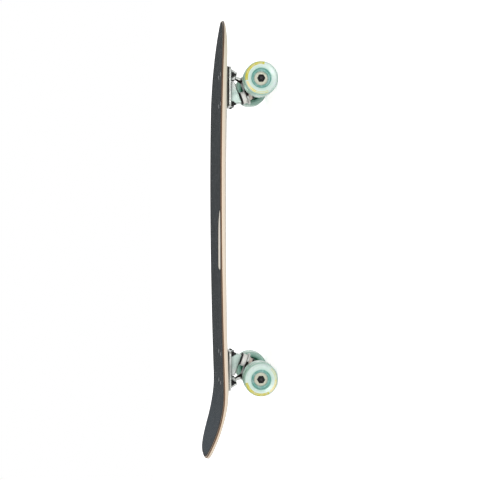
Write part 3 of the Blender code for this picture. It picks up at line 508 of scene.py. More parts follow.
# Colours of a wheel's two faces, from its bearing to its tread
OUTER_FACE = (
    (0.00, (188, 194, 176)),
    (0.060, (188, 196, 178)),
    # A darker line at the core's edge is painted shade; the teal recess is partly the urethane's deeper
    # colour and partly painted shade
    (0.075, (76, 116, 104)),
    (0.100, (96, 158, 146)),
    (0.26, (118, 178, 167)),
    (0.33, (130, 192, 179)),
    (0.37, (180, 212, 199)),
    (0.60, (202, 220, 211)),
    (0.88, (196, 216, 207)),
    # A greyer line on the shoulder is painted shade
    (0.94, (158, 178, 172)),
    (0.99, (164, 204, 188)),
)
# The inner face's deep recess and dimmer middle are partly the urethane's deeper colour and partly painted
# shade
INNER_FACE = (
    (0.00, (196, 194, 172)),
    (0.065, (196, 194, 172)),
    (0.080, (24, 96, 70)),
    (0.46, (36, 112, 84)),
    (0.52, (122, 182, 162)),
    (0.76, (176, 218, 204)),
)


def urethane():
    """Mint wheel urethane: paler sides, a deeper recess and a dimmer inner face that are partly painted
    shade, and broken arcs printed near the outer rim.
    """
    paint = Paint("mint_urethane")
    across, up, _ = paint.parts(paint.node("UVMap", uv_map="plane").outputs[0])
    radius = paint.math("SQRT", paint.math("ADD", paint.times(across, across), paint.times(up, up)))
    turn = paint.math("DIVIDE", paint.math("ARCTAN2", up, across), 2 * pi)
    turn = paint.math("FRACT", paint.math("ADD", turn, 1.0))
    out = paint.span(radius, BEARING_RADIUS, 0.0310)
    cloud = paint.noise(75.0, 2.0)
    tread = paint.mix(paint.span(cloud, 0.3, 0.7), (170, 212, 194), (158, 201, 186))
    face = paint.ramp(out, OUTER_FACE)
    for start, end, low, high, tint_and_painted_reflection in PRINT:
        mask = paint.times(paint.band(turn, start, end, 0.004), paint.band(radius, low, high, 0.00012))
        face = paint.mix(mask, face, tint_and_painted_reflection)
    patch = paint.noise(160.0, 2.0)
    face = paint.mix(paint.span(patch, 0.46, 0.68, 0.0, 0.34), face, (208, 216, 222))
    side = paint.attribute("side")
    paint.colour = paint.mix(paint.span(side, 0.55, 0.75), tread, face)
    # The inner face, partly painted shade
    paint.lay(paint.span(side, -0.75, -0.55, 1.0, 0.0), paint.ramp(out, INNER_FACE))
    paint.set("Subsurface Weight", 0.12)
    paint.set("Subsurface Radius", (0.6, 1.0, 0.8))
    paint.set("Subsurface Scale", 0.003)
    paint.set("Roughness", paint.span(cloud, 0.3, 0.7, 0.22, 0.34))
    return paint.finished(paint.noise(900.0, 3.0), 0.00005, 0.5)


def bolt_steel():
    """Black bolts whose heads are worn bright."""
    paint = Paint("worn_bolt", 0.8)
    paint.set("Roughness", 0.36)
    fine = paint.noise(1100.0, 3.0)
    height = paint.parts(paint.place())[2]
    bright = paint.span(height, AXLE_HEIGHT + DECK_BOTTOM, AXLE_HEIGHT + DECK_TOP)
    black = paint.mix(fine, (24, 24, 26), (38, 38, 40))
    zinc = paint.mix(fine, (188, 190, 192), (140, 142, 146))
    paint.colour = paint.mix(bright, black, zinc)
    return paint.finished(fine, 0.00004, 0.6)


def make_paints():
    paints = {
        "bolt": bolt_steel(),
        "maple": maple(),
        "grip": grit(),
        "cast": cast_metal(),
        "urethane": urethane(),
    }
    for key, *look in (
        ("riser", "riser_rubber", (44, 41, 37), (30, 28, 26), 1400.0, 0.62),
        ("black", "black_oxide", (22, 21, 23), (13, 12, 14), 1200.0, 0.42, 0.2, 0.00004, 0.4),
        ("nylon", "nylon_collar", (15, 15, 17), (8, 8, 9), 900.0, 0.48, 0.0, 0.00004, 0.35),
        ("zinc", "bright_zinc", (214, 216, 218), (186, 188, 190), 1100.0, 0.26, 1.0),
        ("shield", "bearing_shield", (224, 222, 204), (208, 206, 186), 700.0, 0.34, 0.1),
        ("cream", "cream_bushing", (255, 255, 252), (250, 249, 244), 500.0, 0.38, 0.0, 0.00003),
        ("blush", "blush_bushing", (238, 222, 212), (228, 210, 200), 500.0, 0.38, 0.0, 0.00003),
        ("cup", "pivot_cup_urethane", (30, 30, 30), (20, 20, 20), 700.0, 0.5),
    ):
        paints[key] = plain(*look)
    return paints


# Shapes


def smooth(mesh, degrees=35):
    mesh.shade_smooth()
    mesh.set_sharp_from_angle(angle=radians(degrees))


def linked(name, data):
    """A new object in the scene."""
    obj = bpy.data.objects.new(name, data)
    bpy.context.scene.collection.objects.link(obj)
    return obj


def new_object(shape, degrees=35, name="piece"):
    """An object made from a filled bmesh, which is freed."""
    bmesh.ops.recalc_face_normals(shape, faces=shape.faces)
    mesh = bpy.data.meshes.new(name)
    shape.to_mesh(mesh)
    shape.free()
    smooth(mesh, degrees)
    return linked(name, mesh)


def modify(obj, kind, **settings):
    modifier = obj.modifiers.new(kind, kind)
    for name, value in settings.items():
        setattr(modifier, name, value)


def made_real(obj):
    """The object with its modifiers worked into its mesh."""
    bpy.context.view_layer.update()
    mesh = bpy.data.meshes.new_from_object(obj.evaluated_get(bpy.context.evaluated_depsgraph_get()))
    obj.modifiers.clear()
    obj.data = mesh
    return obj


def combine(obj, operation, other):
    """Cuts other from obj, joins it on, or keeps what they share. The other object is used up."""
    modify(obj, "BOOLEAN", operation=operation, solver="EXACT", object=other)
    made_real(obj)
    bpy.data.objects.remove(other, do_unlink=True)
    return obj


def softened(profile, steps=3):
    """The profile with each corner that states a radius drawn as a small curve."""
    points = []
    for index, (radius, height, *soft) in enumerate(profile):
        here = Vector((radius, height))
        if not soft:
            points.append(here)
            continue
        before = Vector(profile[index - 1][:2]) - here
        after = Vector(profile[(index + 1) % len(profile)][:2]) - here
        start = here + before.normalized() * min(soft[0], before.length * 0.49)
        end = here + after.normalized() * min(soft[0], after.length * 0.49)
        for step in range(steps + 1):
            share = step / steps
            points.append(start * (1 - share) ** 2 + here * (2 * share * (1 - share)) + end * share**2)
    return points


def bridge(shape, first, second):
    """Faces between two loops of points, either of which may be one point."""
    for index in range(max(len(first), len(second))):
        after = index + 1
        corners = [first[index % len(first)], first[after % len(first)]]
        corners += [second[after % len(second)], second[index % len(second)]]
        corners = list(dict.fromkeys(corners))
        if len(corners) > 2:
            shape.faces.new(corners)


def turned(profile, segments=64, steps=3):
    """A piece turned about Z from (radius, height) points, each with an optional softening radius.

    The last point joins the first, which adds nothing where both are on the axis.
    """
    shape = bmesh.new()
    rings = []
    for radius, height in softened(profile, steps):
        around = segments if radius > 1e-7 else 1
        angles = [2 * pi * step / segments for step in range(around)]
        rings.append([shape.verts.new((radius * cos(a), radius * sin(a), height)) for a in angles])
    for first, second in zip(rings, rings[1:] + rings[:1]):
        bridge(shape, first, second)
    return new_object(shape)


def thread(radius, start, end, depth, pitch):
    """Profile points of a thread between two heights, as a row of ridges."""
    count = max(int(abs(end - start) / pitch), 1)
    points = []
    for ridge in range(count):
        low = start + (end - start) * ridge / count
        high = start + (end - start) * (ridge + 0.5) / count
        points += [(radius - depth, low), (radius, high)]
    return points + [(radius - depth, end)]


def nut(flats, low, high, bore, collar):
    """A hexagon nut with turned corners and, above them, a round collar of the given height."""
    corner = flats / sqrt(3)
    ease = (corner - flats / 2) * 0.62
    shoulder = high - collar
    profile = [
        (bore, low + 0.0003),
        (bore + 0.0003, low),
        (flats * 0.485, low),
        (corner, low + ease),
        (corner, shoulder - ease),
        (flats * 0.48, shoulder, 0.0003),
        (flats * 0.455, shoulder + 0.0002),
        (flats * 0.445, high - 0.0006, 0.0005),
        (flats * 0.38, high, 0.0006),
        (bore + 0.0003, high),
        (bore, high - 0.0003),
    ]
    blank = bmesh.new()
    size = {"radius1": corner, "radius2": corner, "depth": (high - low) * 1.2}
    middle = Matrix.Translation((0, 0, (low + high) / 2))
    bmesh.ops.create_cone(blank, cap_ends=True, segments=6, matrix=middle, **size)
    return combine(new_object(blank), "INTERSECT", turned(profile, 48))


def driver_bar(turn):
    """One of the two crossed bars of a driver's tip: it tapers downwards."""
    shape = bmesh.new()
    bar = bmesh.ops.create_cube(shape, size=1.0)["verts"]
    for vert in bar:
        low = vert.co.z < 0
        vert.co.x *= DRIVER_LENGTH * (0.35 if low else 1.0)
        vert.co.y *= DRIVER_WIDTH * (0.7 if low else 1.0)
        vert.co.z = HEAD_TOP - DRIVER_DEPTH if low else HEAD_TOP + DRIVER_DEPTH
    bmesh.ops.rotate(shape, verts=bar, cent=(0, 0, 0), matrix=Matrix.Rotation(turn, 3, "Z"))
    return new_object(shape)


def slab(outline, low, high, soft=0.0):
    """A flat plate between two heights with the given outline and, if soft, rounded rims."""
    shape = bmesh.new()
    floor = [shape.verts.new((x, y, low)) for x, y in outline]
    shape.faces.new(floor)
    lifted = bmesh.ops.extrude_face_region(shape, geom=shape.faces[:])["geom"]
    for vert in lifted:
        if isinstance(vert, bmesh.types.BMVert):
            vert.co.z = high
    obj = new_object(shape)
    if soft:
        modify(obj, "BEVEL", width=soft, segments=2, angle_limit=radians(40))
        made_real(obj)
        smooth(obj.data)
    return obj


def rounded_rectangle(length, width, radius):
    points = []
    for corner, (side_x, side_y) in enumerate(((1, 1), (-1, 1), (-1, -1), (1, -1))):
        for step in range(CORNER_STEPS + 1):
            angle = radians(90) * (corner + step / CORNER_STEPS)
            x = side_x * (length / 2 - radius) + radius * cos(angle)
            y = side_y * (width / 2 - radius) + radius * sin(angle)
            points.append((x, y))
    return points


# The board's surface, by the distance from its nose: each works on a whole array of places


def half_width(distance):
    width = FRONT_HALF_WIDTH + (TAIL_HALF_WIDTH - FRONT_HALF_WIDTH) * np.clip(distance / DECK_LENGTH, 0, 1)
    nose = np.clip(1 - distance / NOSE_TAPER, 0, 1)
    tail = np.clip(1 - (DECK_LENGTH - distance) / TAIL_TAPER, 0, 1)
    width *= (1 - nose**NOSE_FULLNESS) ** (1 / NOSE_FULLNESS)
    width *= (1 - tail**TAIL_FULLNESS) ** (1 / TAIL_FULLNESS)
    return width


def spine(distance):
    drop = np.clip(1 - distance / NOSE_DROP_LENGTH, 0, None)
    past = np.clip(distance - KICK_START, 0, None)
    arc = KICK_RADIUS * sin(KICK_ANGLE)
    bend = KICK_RADIUS - np.sqrt(KICK_RADIUS**2 - np.minimum(past, arc) ** 2)
    return bend + np.clip(past - arc, 0, None) * tan(KICK_ANGLE) - NOSE_DROP * drop**2


def rail_rise(distance):
    ahead = np.clip((CONCAVE_DEEPEST - distance) / (CONCAVE_DEEPEST - CONCAVE_START), 0, 1)
    behind = np.clip((distance - CONCAVE_DEEPEST) / (CONCAVE_END - CONCAVE_DEEPEST), 0, 1)
    rear = TAIL_CONCAVE + (CONCAVE - TAIL_CONCAVE) * (1 - behind**2)
    return np.where(distance < CONCAVE_DEEPEST, CONCAVE * (1 - ahead**2), rear)


def off_flat(distance, y):
    ends = (FRONT_AXLE_FROM_NOSE + FLAT_REACH, REAR_AXLE_FROM_NOSE - FLAT_REACH)
    along = (2 * distance - sum(ends)) / (ends[1] - ends[0])
    flat = FLAT_HALF_WIDTH - (FLAT_HALF_WIDTH - MIDDLE_FLAT_HALF_WIDTH) * np.clip(1 - along**2, 0, None)
    return np.clip(np.abs(y) - flat, 0, None) / (TAIL_HALF_WIDTH - flat)


def thickness_share(distance):
    nose = np.clip(1 - distance / NOSE_THINNING_LENGTH, 0, None)
    tail = np.clip((distance - KICK_START) / (DECK_LENGTH - KICK_START), 0, None)
    return 1 - NOSE_THINNING * nose**2 - TAIL_THINNING * np.minimum(tail * 2, 1)


def on_board(x, y, height):
    """Points at x, y and a height over the deck's lower face, leaning with the kick."""
    distance = NOSE_X - x
    lean = np.minimum(np.arcsin(np.clip((distance - KICK_START) / KICK_RADIUS, 0, 1)), KICK_ANGLE)
    dish = spine(distance) + rail_rise(distance) * off_flat(distance, y) ** CONCAVE_POWER
    lift = AXLE_HEIGHT + DECK_BOTTOM + dish + height * np.cos(lean)
    return np.stack([x + height * np.sin(lean), y, lift], axis=1)


def outline():
    """Even points round the board, from the tail's tip by its left side, and their outward normals."""
    angle = np.linspace(-pi / 2, pi / 2, 1200)
    x = NOSE_X * np.sin(angle)
    y = half_width(NOSE_X - x)
    way = np.concatenate([[0], np.cumsum(np.hypot(np.diff(x), np.diff(y)))])
    steps = np.linspace(0, way[-1], OUTLINE_POINTS)
    left = np.stack([np.interp(steps, way, x), np.interp(steps, way, y)], axis=1)
    right = left[-2:0:-1] * (1, -1)
    points = np.concatenate([left, right])
    along = np.roll(points, -1, axis=0) - np.roll(points, 1, axis=0)
    normals = np.stack([-along[:, 1], along[:, 0]], axis=1)
    return points, normals / np.linalg.norm(normals, axis=1, keepdims=True)


def shrunk(points, share):
    """The loop drawn in towards the board's middle line."""
    straight = NOSE_X - TIP_REACH
    x, y = points[:, 0], points[:, 1]
    base = np.clip(x, -straight, straight)
    return np.stack([base + (x - base) * share, y * share], axis=1)


def board_sheet(low, high, margin, edge_round, thins):
    """A sheet that follows the board, between two heights over the deck's lower face."""
    points, normals = outline()
    loops = []

    def add(flat, is_top, inset, at_rim=1.0):
        x, y = flat[:, 0], flat[:, 1]
        share = thickness_share(NOSE_X - x) if thins else np.ones(len(x))
        lift = DECK_EDGE_THINNER * off_flat(NOSE_X - x, y) + (1 - share) * (high - low) if thins else 0
        height = high - inset * share if is_top else low + lift + inset * share
        loops.append((on_board(x, y, height), 1 - (height - low) / (high - low), at_rim))

    rim = points - normals * (margin + edge_round)
    for share in reversed(BOARD_RINGS):
        add(shrunk(rim, share), True, 0, 0.0)
    turns = [radians(90) * step / EDGE_STEPS for step in range(EDGE_STEPS + 1)] if edge_round else [0]
    for turn in turns:
        add(rim + normals * edge_round * sin(turn), True, edge_round * (1 - cos(turn)))
    for turn in reversed(turns):
        add(rim + normals * edge_round * sin(turn), False, edge_round * (1 - cos(turn)))
    for share in BOARD_RINGS:
        add(shrunk(rim, share), False, 0, 0.0)

    shape = bmesh.new()
    layer = shape.verts.layers.float.new("depth")
    rim_layer = shape.verts.layers.float.new("rim")
    made = []
    for places, depths, at_rim in loops:
        row = [shape.verts.new(place) for place in places]
        for vert, depth in zip(row, depths):
            vert[layer] = depth
            vert[rim_layer] = at_rim
        made.append(row)
    for first, second in zip(made, made[1:]):
        bridge(shape, first, second)
    for row in (made[0], made[-1]):
        for index in range(OUTLINE_POINTS - 1):
            corners = (row[index], row[index + 1], row[-index - 1], row[-index % len(row)])
            shape.faces.new(list(dict.fromkeys(corners)))
    return new_object(shape, BOARD_CREASE)


def window_outline():
    """The grip tape's cut-out: a pointed arch towards the nose with a square, rounded foot."""
    reach = WINDOW_LENGTH / 2
    half = WINDOW_WIDTH / 2
    left = []
    for step in range(1, ARCH_STEPS + 1):
        share = step / ARCH_STEPS
        left.append((reach * (1 - share**1.5), half * sin(radians(90) * share) ** 0.6))
    for step in range(ARCH_STEPS):
        angle = radians(90) * step / (ARCH_STEPS - 1)
        side = half - WINDOW_CORNER * (1 - cos(angle))
        left.append((-reach + WINDOW_CORNER * (1 - sin(angle)), side))
    loop = [(reach, 0)] + left + [(x, -y) for x, y in reversed(left)]
    return [(x + NOSE_X - WINDOW_FROM_NOSE, y) for x, y in loop]


# Pieces


def dress(obj, node, body, paint, matrix=None, bend=None):
    """Shows a piece in place of its CAD node: its material, its place, and the body it rides on.

    A piece that bends has its place worked into its mesh and rides on no body; what it is given for the body
    at its far end and for its two ends is not used.
    """
    if matrix is not None:
        obj.data.transform(matrix)
    obj.name = f"dressed_{node}"
    obj.data.name = obj.name
    obj.data.materials.clear()
    obj.data.materials.append(paint)
    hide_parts(node)
    if bend:
        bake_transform(obj)
    else:
        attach(obj, body)


def copied(obj):
    return linked("copy", obj.data.copy())


def bolt_places():
    """The eight deck bolts: name, and place on the board."""
    places = []
    for end, axle, outward in TRUCKS:
        middle = axle - outward * BOLT_INSET
        for where, step in (("outer", outward), ("inner", -outward)):
            for side, across in SIDES:
                x = middle + step * BOLT_SPACING / 2
                places.append((f"{end}_{where}_{side}", x, across * BOLT_ROW_SPACING / 2))
    return places


def hole_cutter():
    """One cutter for all the deck bolts: a shaft, and a cone for each head."""
    head = BOLT_HEAD_RADIUS + GAP
    shaft = BOLT_RADIUS + GAP
    profile = [
        (0, AXLE_HEIGHT + GRIP_TOP + CUT_REACH),
        (head, AXLE_HEIGHT + GRIP_TOP + CUT_REACH),
        (head, AXLE_HEIGHT + HEAD_TOP - 0.0009),
        (shaft, AXLE_HEIGHT + HEAD_TOP - BOLT_HEAD_DEPTH - GAP),
        (shaft, AXLE_HEIGHT + BASE_TOP - CUT_REACH),
        (0, AXLE_HEIGHT + BASE_TOP - CUT_REACH),
    ]
    shape = bmesh.new()
    single = turned(profile, 32)
    for _, x, y in bolt_places():
        copy = single.data.copy()
        copy.transform(Matrix.Translation((x, y, 0)))
        shape.from_mesh(copy)
        bpy.data.meshes.remove(copy)
    bpy.data.objects.remove(single, do_unlink=True)
    return new_object(shape)


def make_board(paints):
    low = GRIP_BOTTOM - DECK_BOTTOM
    deck = board_sheet(0, DECK_THICKNESS, 0, DECK_EDGE_ROUND, True)
    grip = board_sheet(low, low + GRIP_THICKNESS, GRIP_MARGIN, 0, False)
    for sheet in (deck, grip):
        combine(sheet, "DIFFERENCE", hole_cutter())
    middle = AXLE_HEIGHT + GRIP_TOP
    combine(grip, "DIFFERENCE", slab(window_outline(), middle - CUT_REACH, middle + CUT_REACH))
    for sheet, node, look in ((deck, "deck", "maple"), (grip, "grip_tape", "grip")):
        smooth(sheet.data, BOARD_CREASE)
        dress(sheet, node, "board", paints[look])


def make_bolts(paints):
    """Deck bolts with a cross recess and a threaded end, and their lock nuts."""
    thread_top = BASE_TOP - 0.001
    profile = [(0, HEAD_TOP), (BOLT_HEAD_RADIUS - 0.0002, HEAD_TOP, 0.0002)]
    profile += [(BOLT_HEAD_RADIUS, HEAD_TOP - 0.0006), (BOLT_RADIUS, HEAD_TOP - BOLT_HEAD_DEPTH, 0.0004)]
    profile += [(BOLT_RADIUS, thread_top)]
    profile += thread(BOLT_RADIUS, thread_top - 0.0002, BOLT_TIP + 0.0006, *BOLT_THREAD)
    profile += [(BOLT_RADIUS - 0.0006, BOLT_TIP, 0.0002), (0, BOLT_TIP)]
    bolt = turned(profile, 32)
    for turn in (0, radians(90)):
        combine(bolt, "DIFFERENCE", driver_bar(turn))
    smooth(bolt.data)
    low = LOCK_NUT_TOP - LOCK_NUT_HEIGHT
    lock_nut = nut(LOCK_NUT_FLATS, -LOCK_NUT_TOP, -low, BOLT_RADIUS + GAP, NUT_COLLAR)
    lock_nut.data.transform(Matrix.Rotation(pi, 4, "X"))
    for name, x, y in bolt_places():
        stand = Matrix.Translation((x, y, AXLE_HEIGHT))
        dress(copied(bolt), f"{name}_bolt", "board", paints["bolt"], stand)
        dress(copied(lock_nut), f"{name}_lock_nut", "board", paints["nylon"], stand)
    for obj in (bolt, lock_nut):
        bpy.data.objects.remove(obj, do_unlink=True)


def casting(node, easing):
    """A rounded copy of a CAD casting: its corners and joins drawn as the fillets a mould leaves."""
    obj = linked(node, nodes[node].data.copy())
    obj.data.transform(nodes[node].matrix_world)
    modify(obj, "REMESH", mode="VOXEL", voxel_size=CASTING_VOXEL)
    made_real(obj)
    modify(obj, "SMOOTH", factor=0.5, iterations=easing)
    modify(obj, "DECIMATE", ratio=CASTING_KEPT)
    made_real(obj)
    obj.data.shade_smooth()
    mark_hollow_shade(obj)
    return obj


def held(value):
    return min(max(value, 0.0), 1.0)


def mark(obj, name, value_at):
    """Writes a number for each point, which the materials read."""
    layer = obj.data.attributes.new(name, "FLOAT", "POINT")
    for vert, slot in zip(obj.data.vertices, layer.data):
        slot.value = value_at(vert)


def mark_hollow_shade(obj):
    """Marks each point by how much of the outside is close by, for the shade that is painted in hollows."""
    tree = BVHTree.FromPolygons(
        [vert.co for vert in obj.data.vertices], [list(face.vertices) for face in obj.data.polygons]
    )
    ways = []
    for step in range(HOLLOW_RAYS):
        height = 1 - (step + 0.5) / HOLLOW_RAYS
        turn = step * pi * (3 - sqrt(5))
        flat = sqrt(1 - height * height)
        ways.append(Vector((flat * cos(turn), flat * sin(turn), height)))

    def closeness(vert):
        turn = Vector((0, 0, 1)).rotation_difference(vert.normal).to_matrix()
        start = vert.co + vert.normal * HOLLOW_START
        met = sum(tree.ray_cast(start, turn @ way, HOLLOW_REACH)[0] is not None for way in ways)
        return met / HOLLOW_RAYS

    mark(obj, "hollow_shade", closeness)


def mark_block(obj, truck):
    """Marks the slanted block of a baseplate, where a reflection of the mint wheels is painted, and painted
    shade over its washer.
    """
    to_truck = truck.inverted()
    to_kingpin = KINGPIN_FRAME.inverted() @ to_truck

    # The block under the flange, where a reflection of the mint wheels is painted
    def tint_and_painted_reflection(vert):
        place = to_truck @ vert.co
        below = (BASE_TOP - BASE_THICKNESS - place.z) / REFLECTION_DROP
        return held(min(below, (REFLECTION_START - place.x) / REFLECTION_FADE))

    # Painted shade on the block over its washer
    def painted_shade(vert):
        return held((SEAT_SHADE_REACH - (to_kingpin @ vert.co).z) / DARK_FADE) * tint_and_painted_reflection(vert)

    mark(obj, "tint_and_painted_reflection", tint_and_painted_reflection)
    mark(obj, "painted_shade", painted_shade)


def mark_painted_shade(obj, truck):
    """Marks painted shade on the side of a hanger that faces the board, from the middle of its ring to its
    pivot stem.
    """
    to_truck = truck.inverted()

    def painted_shade(vert):
        place = to_truck @ vert.co
        spot = Vector((place.x, place.z))
        share = 0.0
        for (start, start_reach), (end, end_reach) in zip(DARK_LINE, DARK_LINE[1:]):
            first, last = Vector(start), Vector(end)
            along = held((spot - first).dot(last - first) / (last - first).length_squared)
            reach = start_reach + (end_reach - start_reach) * along
            away = (spot - first.lerp(last, along)).length
            share = max(share, (reach - away) / DARK_FADE + 0.5)
        return held(min(share, (DARK_HALF_WIDTH - abs(place.y)) / DARK_END_FADE))

    mark(obj, "painted_shade", painted_shade)


def stack_piece(name):
    """A ring on the kingpin, drawn down from its seat."""
    thickness, outer, tip, round_off, bulge = STACK[name]
    start = STACK_STARTS[name]
    end = start + thickness
    bore = KINGPIN_RADIUS + GAP
    profile = [(bore, -start), (outer - bulge, -start, round_off)]
    if bulge:
        profile += [(outer, -start - thickness * 0.22, thickness * 0.2)]
        profile += [((outer + tip) / 2 + bulge, -(start + end) / 2, thickness * 0.2)]
        profile += [(tip, -end + thickness * 0.22, thickness * 0.2)]
    profile += [(tip - bulge, -end, round_off), (bore, -end)]
    obj = turned(profile)
    obj.data.transform(KINGPIN_FRAME)
    return obj


def kingpin_piece():
    """A bolt with a chamfered hexagon head, and a thread below the ring."""
    head_low = KINGPIN_HEAD_RISE
    head_high = head_low + KINGPIN_HEAD_HEIGHT
    head = nut(KINGPIN_FLATS, head_low, head_high, bore=0.001, collar=0.0006)
    top = head_high - 0.0012
    threads = -STACK_STARTS["road_washer"] + 0.0006
    profile = [(0, top), (KINGPIN_RADIUS, top), (KINGPIN_RADIUS, threads)]
    profile += thread(KINGPIN_RADIUS, threads - 0.0003, -KINGPIN_TIP + 0.0009, *KINGPIN_THREAD)
    profile += [(KINGPIN_RADIUS - 0.0012, -KINGPIN_TIP, 0.0003), (0, -KINGPIN_TIP)]
    pin = turned(profile, 40)
    combine(pin, "UNION", head)
    smooth(pin.data)
    pin.data.transform(KINGPIN_FRAME)
    return pin


def kingpin_nut_piece():
    end = KINGPIN_NUT_START + KINGPIN_NUT_HEIGHT
    piece = nut(KINGPIN_FLATS, KINGPIN_NUT_START, end, KINGPIN_RADIUS + GAP, NUT_COLLAR)
    piece.data.transform(KINGPIN_FRAME @ Matrix.Rotation(pi, 4, "X"))
    return piece


def riser_piece():
    low = BASE_TOP + GAP
    flat = [(x - BASE_INSET, y) for x, y in rounded_rectangle(BASE_LENGTH, BASE_WIDTH, BASE_CORNER)]
    piece = slab(flat, low, low + RISER_THICKNESS, RISER_SOFTNESS)
    radius = BOLT_RADIUS + GAP
    for x in (BOLT_SPACING / 2, -BOLT_SPACING / 2):
        for y in (BOLT_ROW_SPACING / 2, -BOLT_ROW_SPACING / 2):
            hole = turned([(0, 1), (radius, 1), (radius, -1), (0, -1)], 24)
            hole.data.transform(Matrix.Translation((x - BOLT_INSET, y, 0)))
            combine(piece, "DIFFERENCE", hole)
    smooth(piece.data)
    return piece


def cup_piece():
    """A cup open towards the road, with a round seat for the hanger's pivot."""
    seat = PIVOT_BALL_RADIUS + GAP
    top = seat + CUP_FLOOR
    outer = seat + CUP_WALL
    profile = [(0, top), (outer, top, 0.0004), (outer, -CUP_MOUTH, 0.0006)]
    profile += [(seat + CUP_FLARE, -CUP_MOUTH, 0.0004)]
    for step in range(CUP_STEPS):
        angle = radians(90) * step / CUP_STEPS
        profile.append((seat * cos(angle), seat * sin(angle)))
    cup = turned(profile + [(0, seat)], 40)
    pivot = Vector((PIVOT_OUT, 0, PIVOT_HEIGHT))
    away = (pivot - Vector((-STEM_AIM_INSET, 0, 0))).normalized()
    turn = Vector((0, 0, 1)).rotation_difference(away).to_matrix().to_4x4()
    cup.data.transform(Matrix.Translation(pivot) @ turn)
    return cup


def wheel_piece():
    """A wheel about its own centre with its outer face up, and for each point which side it is on."""
    half = WHEEL_WIDTH / 2
    seat = BEARING_RADIUS + GAP
    rib = BEARING_SPACING / 2 - GAP
    face = BEARING_SPACING / 2 + BEARING_WIDTH + GAP
    tread = AXLE_HEIGHT

    def flank(recess, flip):
        points = [
            (seat, rib),
            (seat, face, 0.0003),
            (CORE_RADIUS, face, 0.0002),
            (CORE_RADIUS + 0.0003, face - 0.0004, 0.0003),
            (recess - WHEEL_RECESS_SLOPE, face - 0.0004, 0.0016),
            (recess, half - WHEEL_FACE_SLOPE, 0.0008),
            (tread - 0.0034, half - WHEEL_LIP_INSET, 0.0013),
            (tread - WHEEL_SHOULDER_DROP, half - WHEEL_SHOULDER_WIDTH, 0.0030),
            (tread, half - WHEEL_EDGE_WIDTH, 0.0030),
        ]
        if not flip:
            return points
        return [(radius, -height, *soft) for radius, height, *soft in reversed(points)]

    profile = flank(WHEEL_RECESS_RADIUS, False) + flank(WHEEL_INNER_RECESS_RADIUS, True)
    profile += [(WHEEL_RIB_HOLE_RADIUS, -rib, 0.0003), (WHEEL_RIB_HOLE_RADIUS, rib, 0.0003)]
    wheel = turned(profile, 96, steps=4)

    def side(vert):
        inside = tread - 0.0002 - hypot(vert.co.x, vert.co.y)
        return copysign(held(inside / 0.0018), vert.co.z)

    mark(wheel, "side", side)
    return wheel


def map_wheel(obj, centre, print_turn):
    """Writes each corner's place in the wheel's plane, from where its print starts."""
    layer = obj.data.uv_layers.new(name="plane")
    for loop in obj.data.loops:
        place = obj.data.vertices[loop.vertex_index].co - centre
        spot = Vector((place.x, place.z))
        spot.rotate(Matrix.Rotation(-print_turn, 2))
        layer.data[loop.index].uv = spot


def bearing_piece():
    """A bearing about its own middle: two races with a sunk shield between them on each side."""
    half = BEARING_WIDTH / 2
    inner = SHIELD_INNER_RADIUS
    outer = BEARING_RADIUS - RACE_WALL

    def face(height):
        sunk = height - copysign(SHIELD_DEPTH, height)
        return [
            (AXLE_RADIUS + GAP, height, 0.0003),
            (inner, height, 0.0002),
            (inner + SHIELD_SLOPE, sunk, 0.0001),
            (outer - SHIELD_SLOPE, sunk, 0.0001),
            (outer, height, 0.0002),
            (BEARING_RADIUS, height, 0.0004),
        ]

    return turned(face(half) + face(-half)[::-1])


def axle_piece():
    """A rod with a thread under each nut."""
    threads = SPEED_RING_START

    def end(sign):
        points = [(AXLE_RADIUS, sign * threads)]
        points += thread(AXLE_RADIUS, sign * (threads + 0.0003), sign * (AXLE_TIP - 0.0007), *AXLE_THREAD)
        return points + [(AXLE_RADIUS - 0.0009, sign * AXLE_TIP, 0.0003), (0, sign * AXLE_TIP)]

    return turned(end(-1)[::-1] + end(1), 40)


def speed_ring_piece():
    start = SPEED_RING_START
    end = start + SPEED_RING_THICKNESS
    bore = AXLE_RADIUS + GAP
    outer = SPEED_RING_RADIUS
    return turned([(bore, start), (outer, start, 0.0002), (outer, end, 0.0002), (bore, end)])


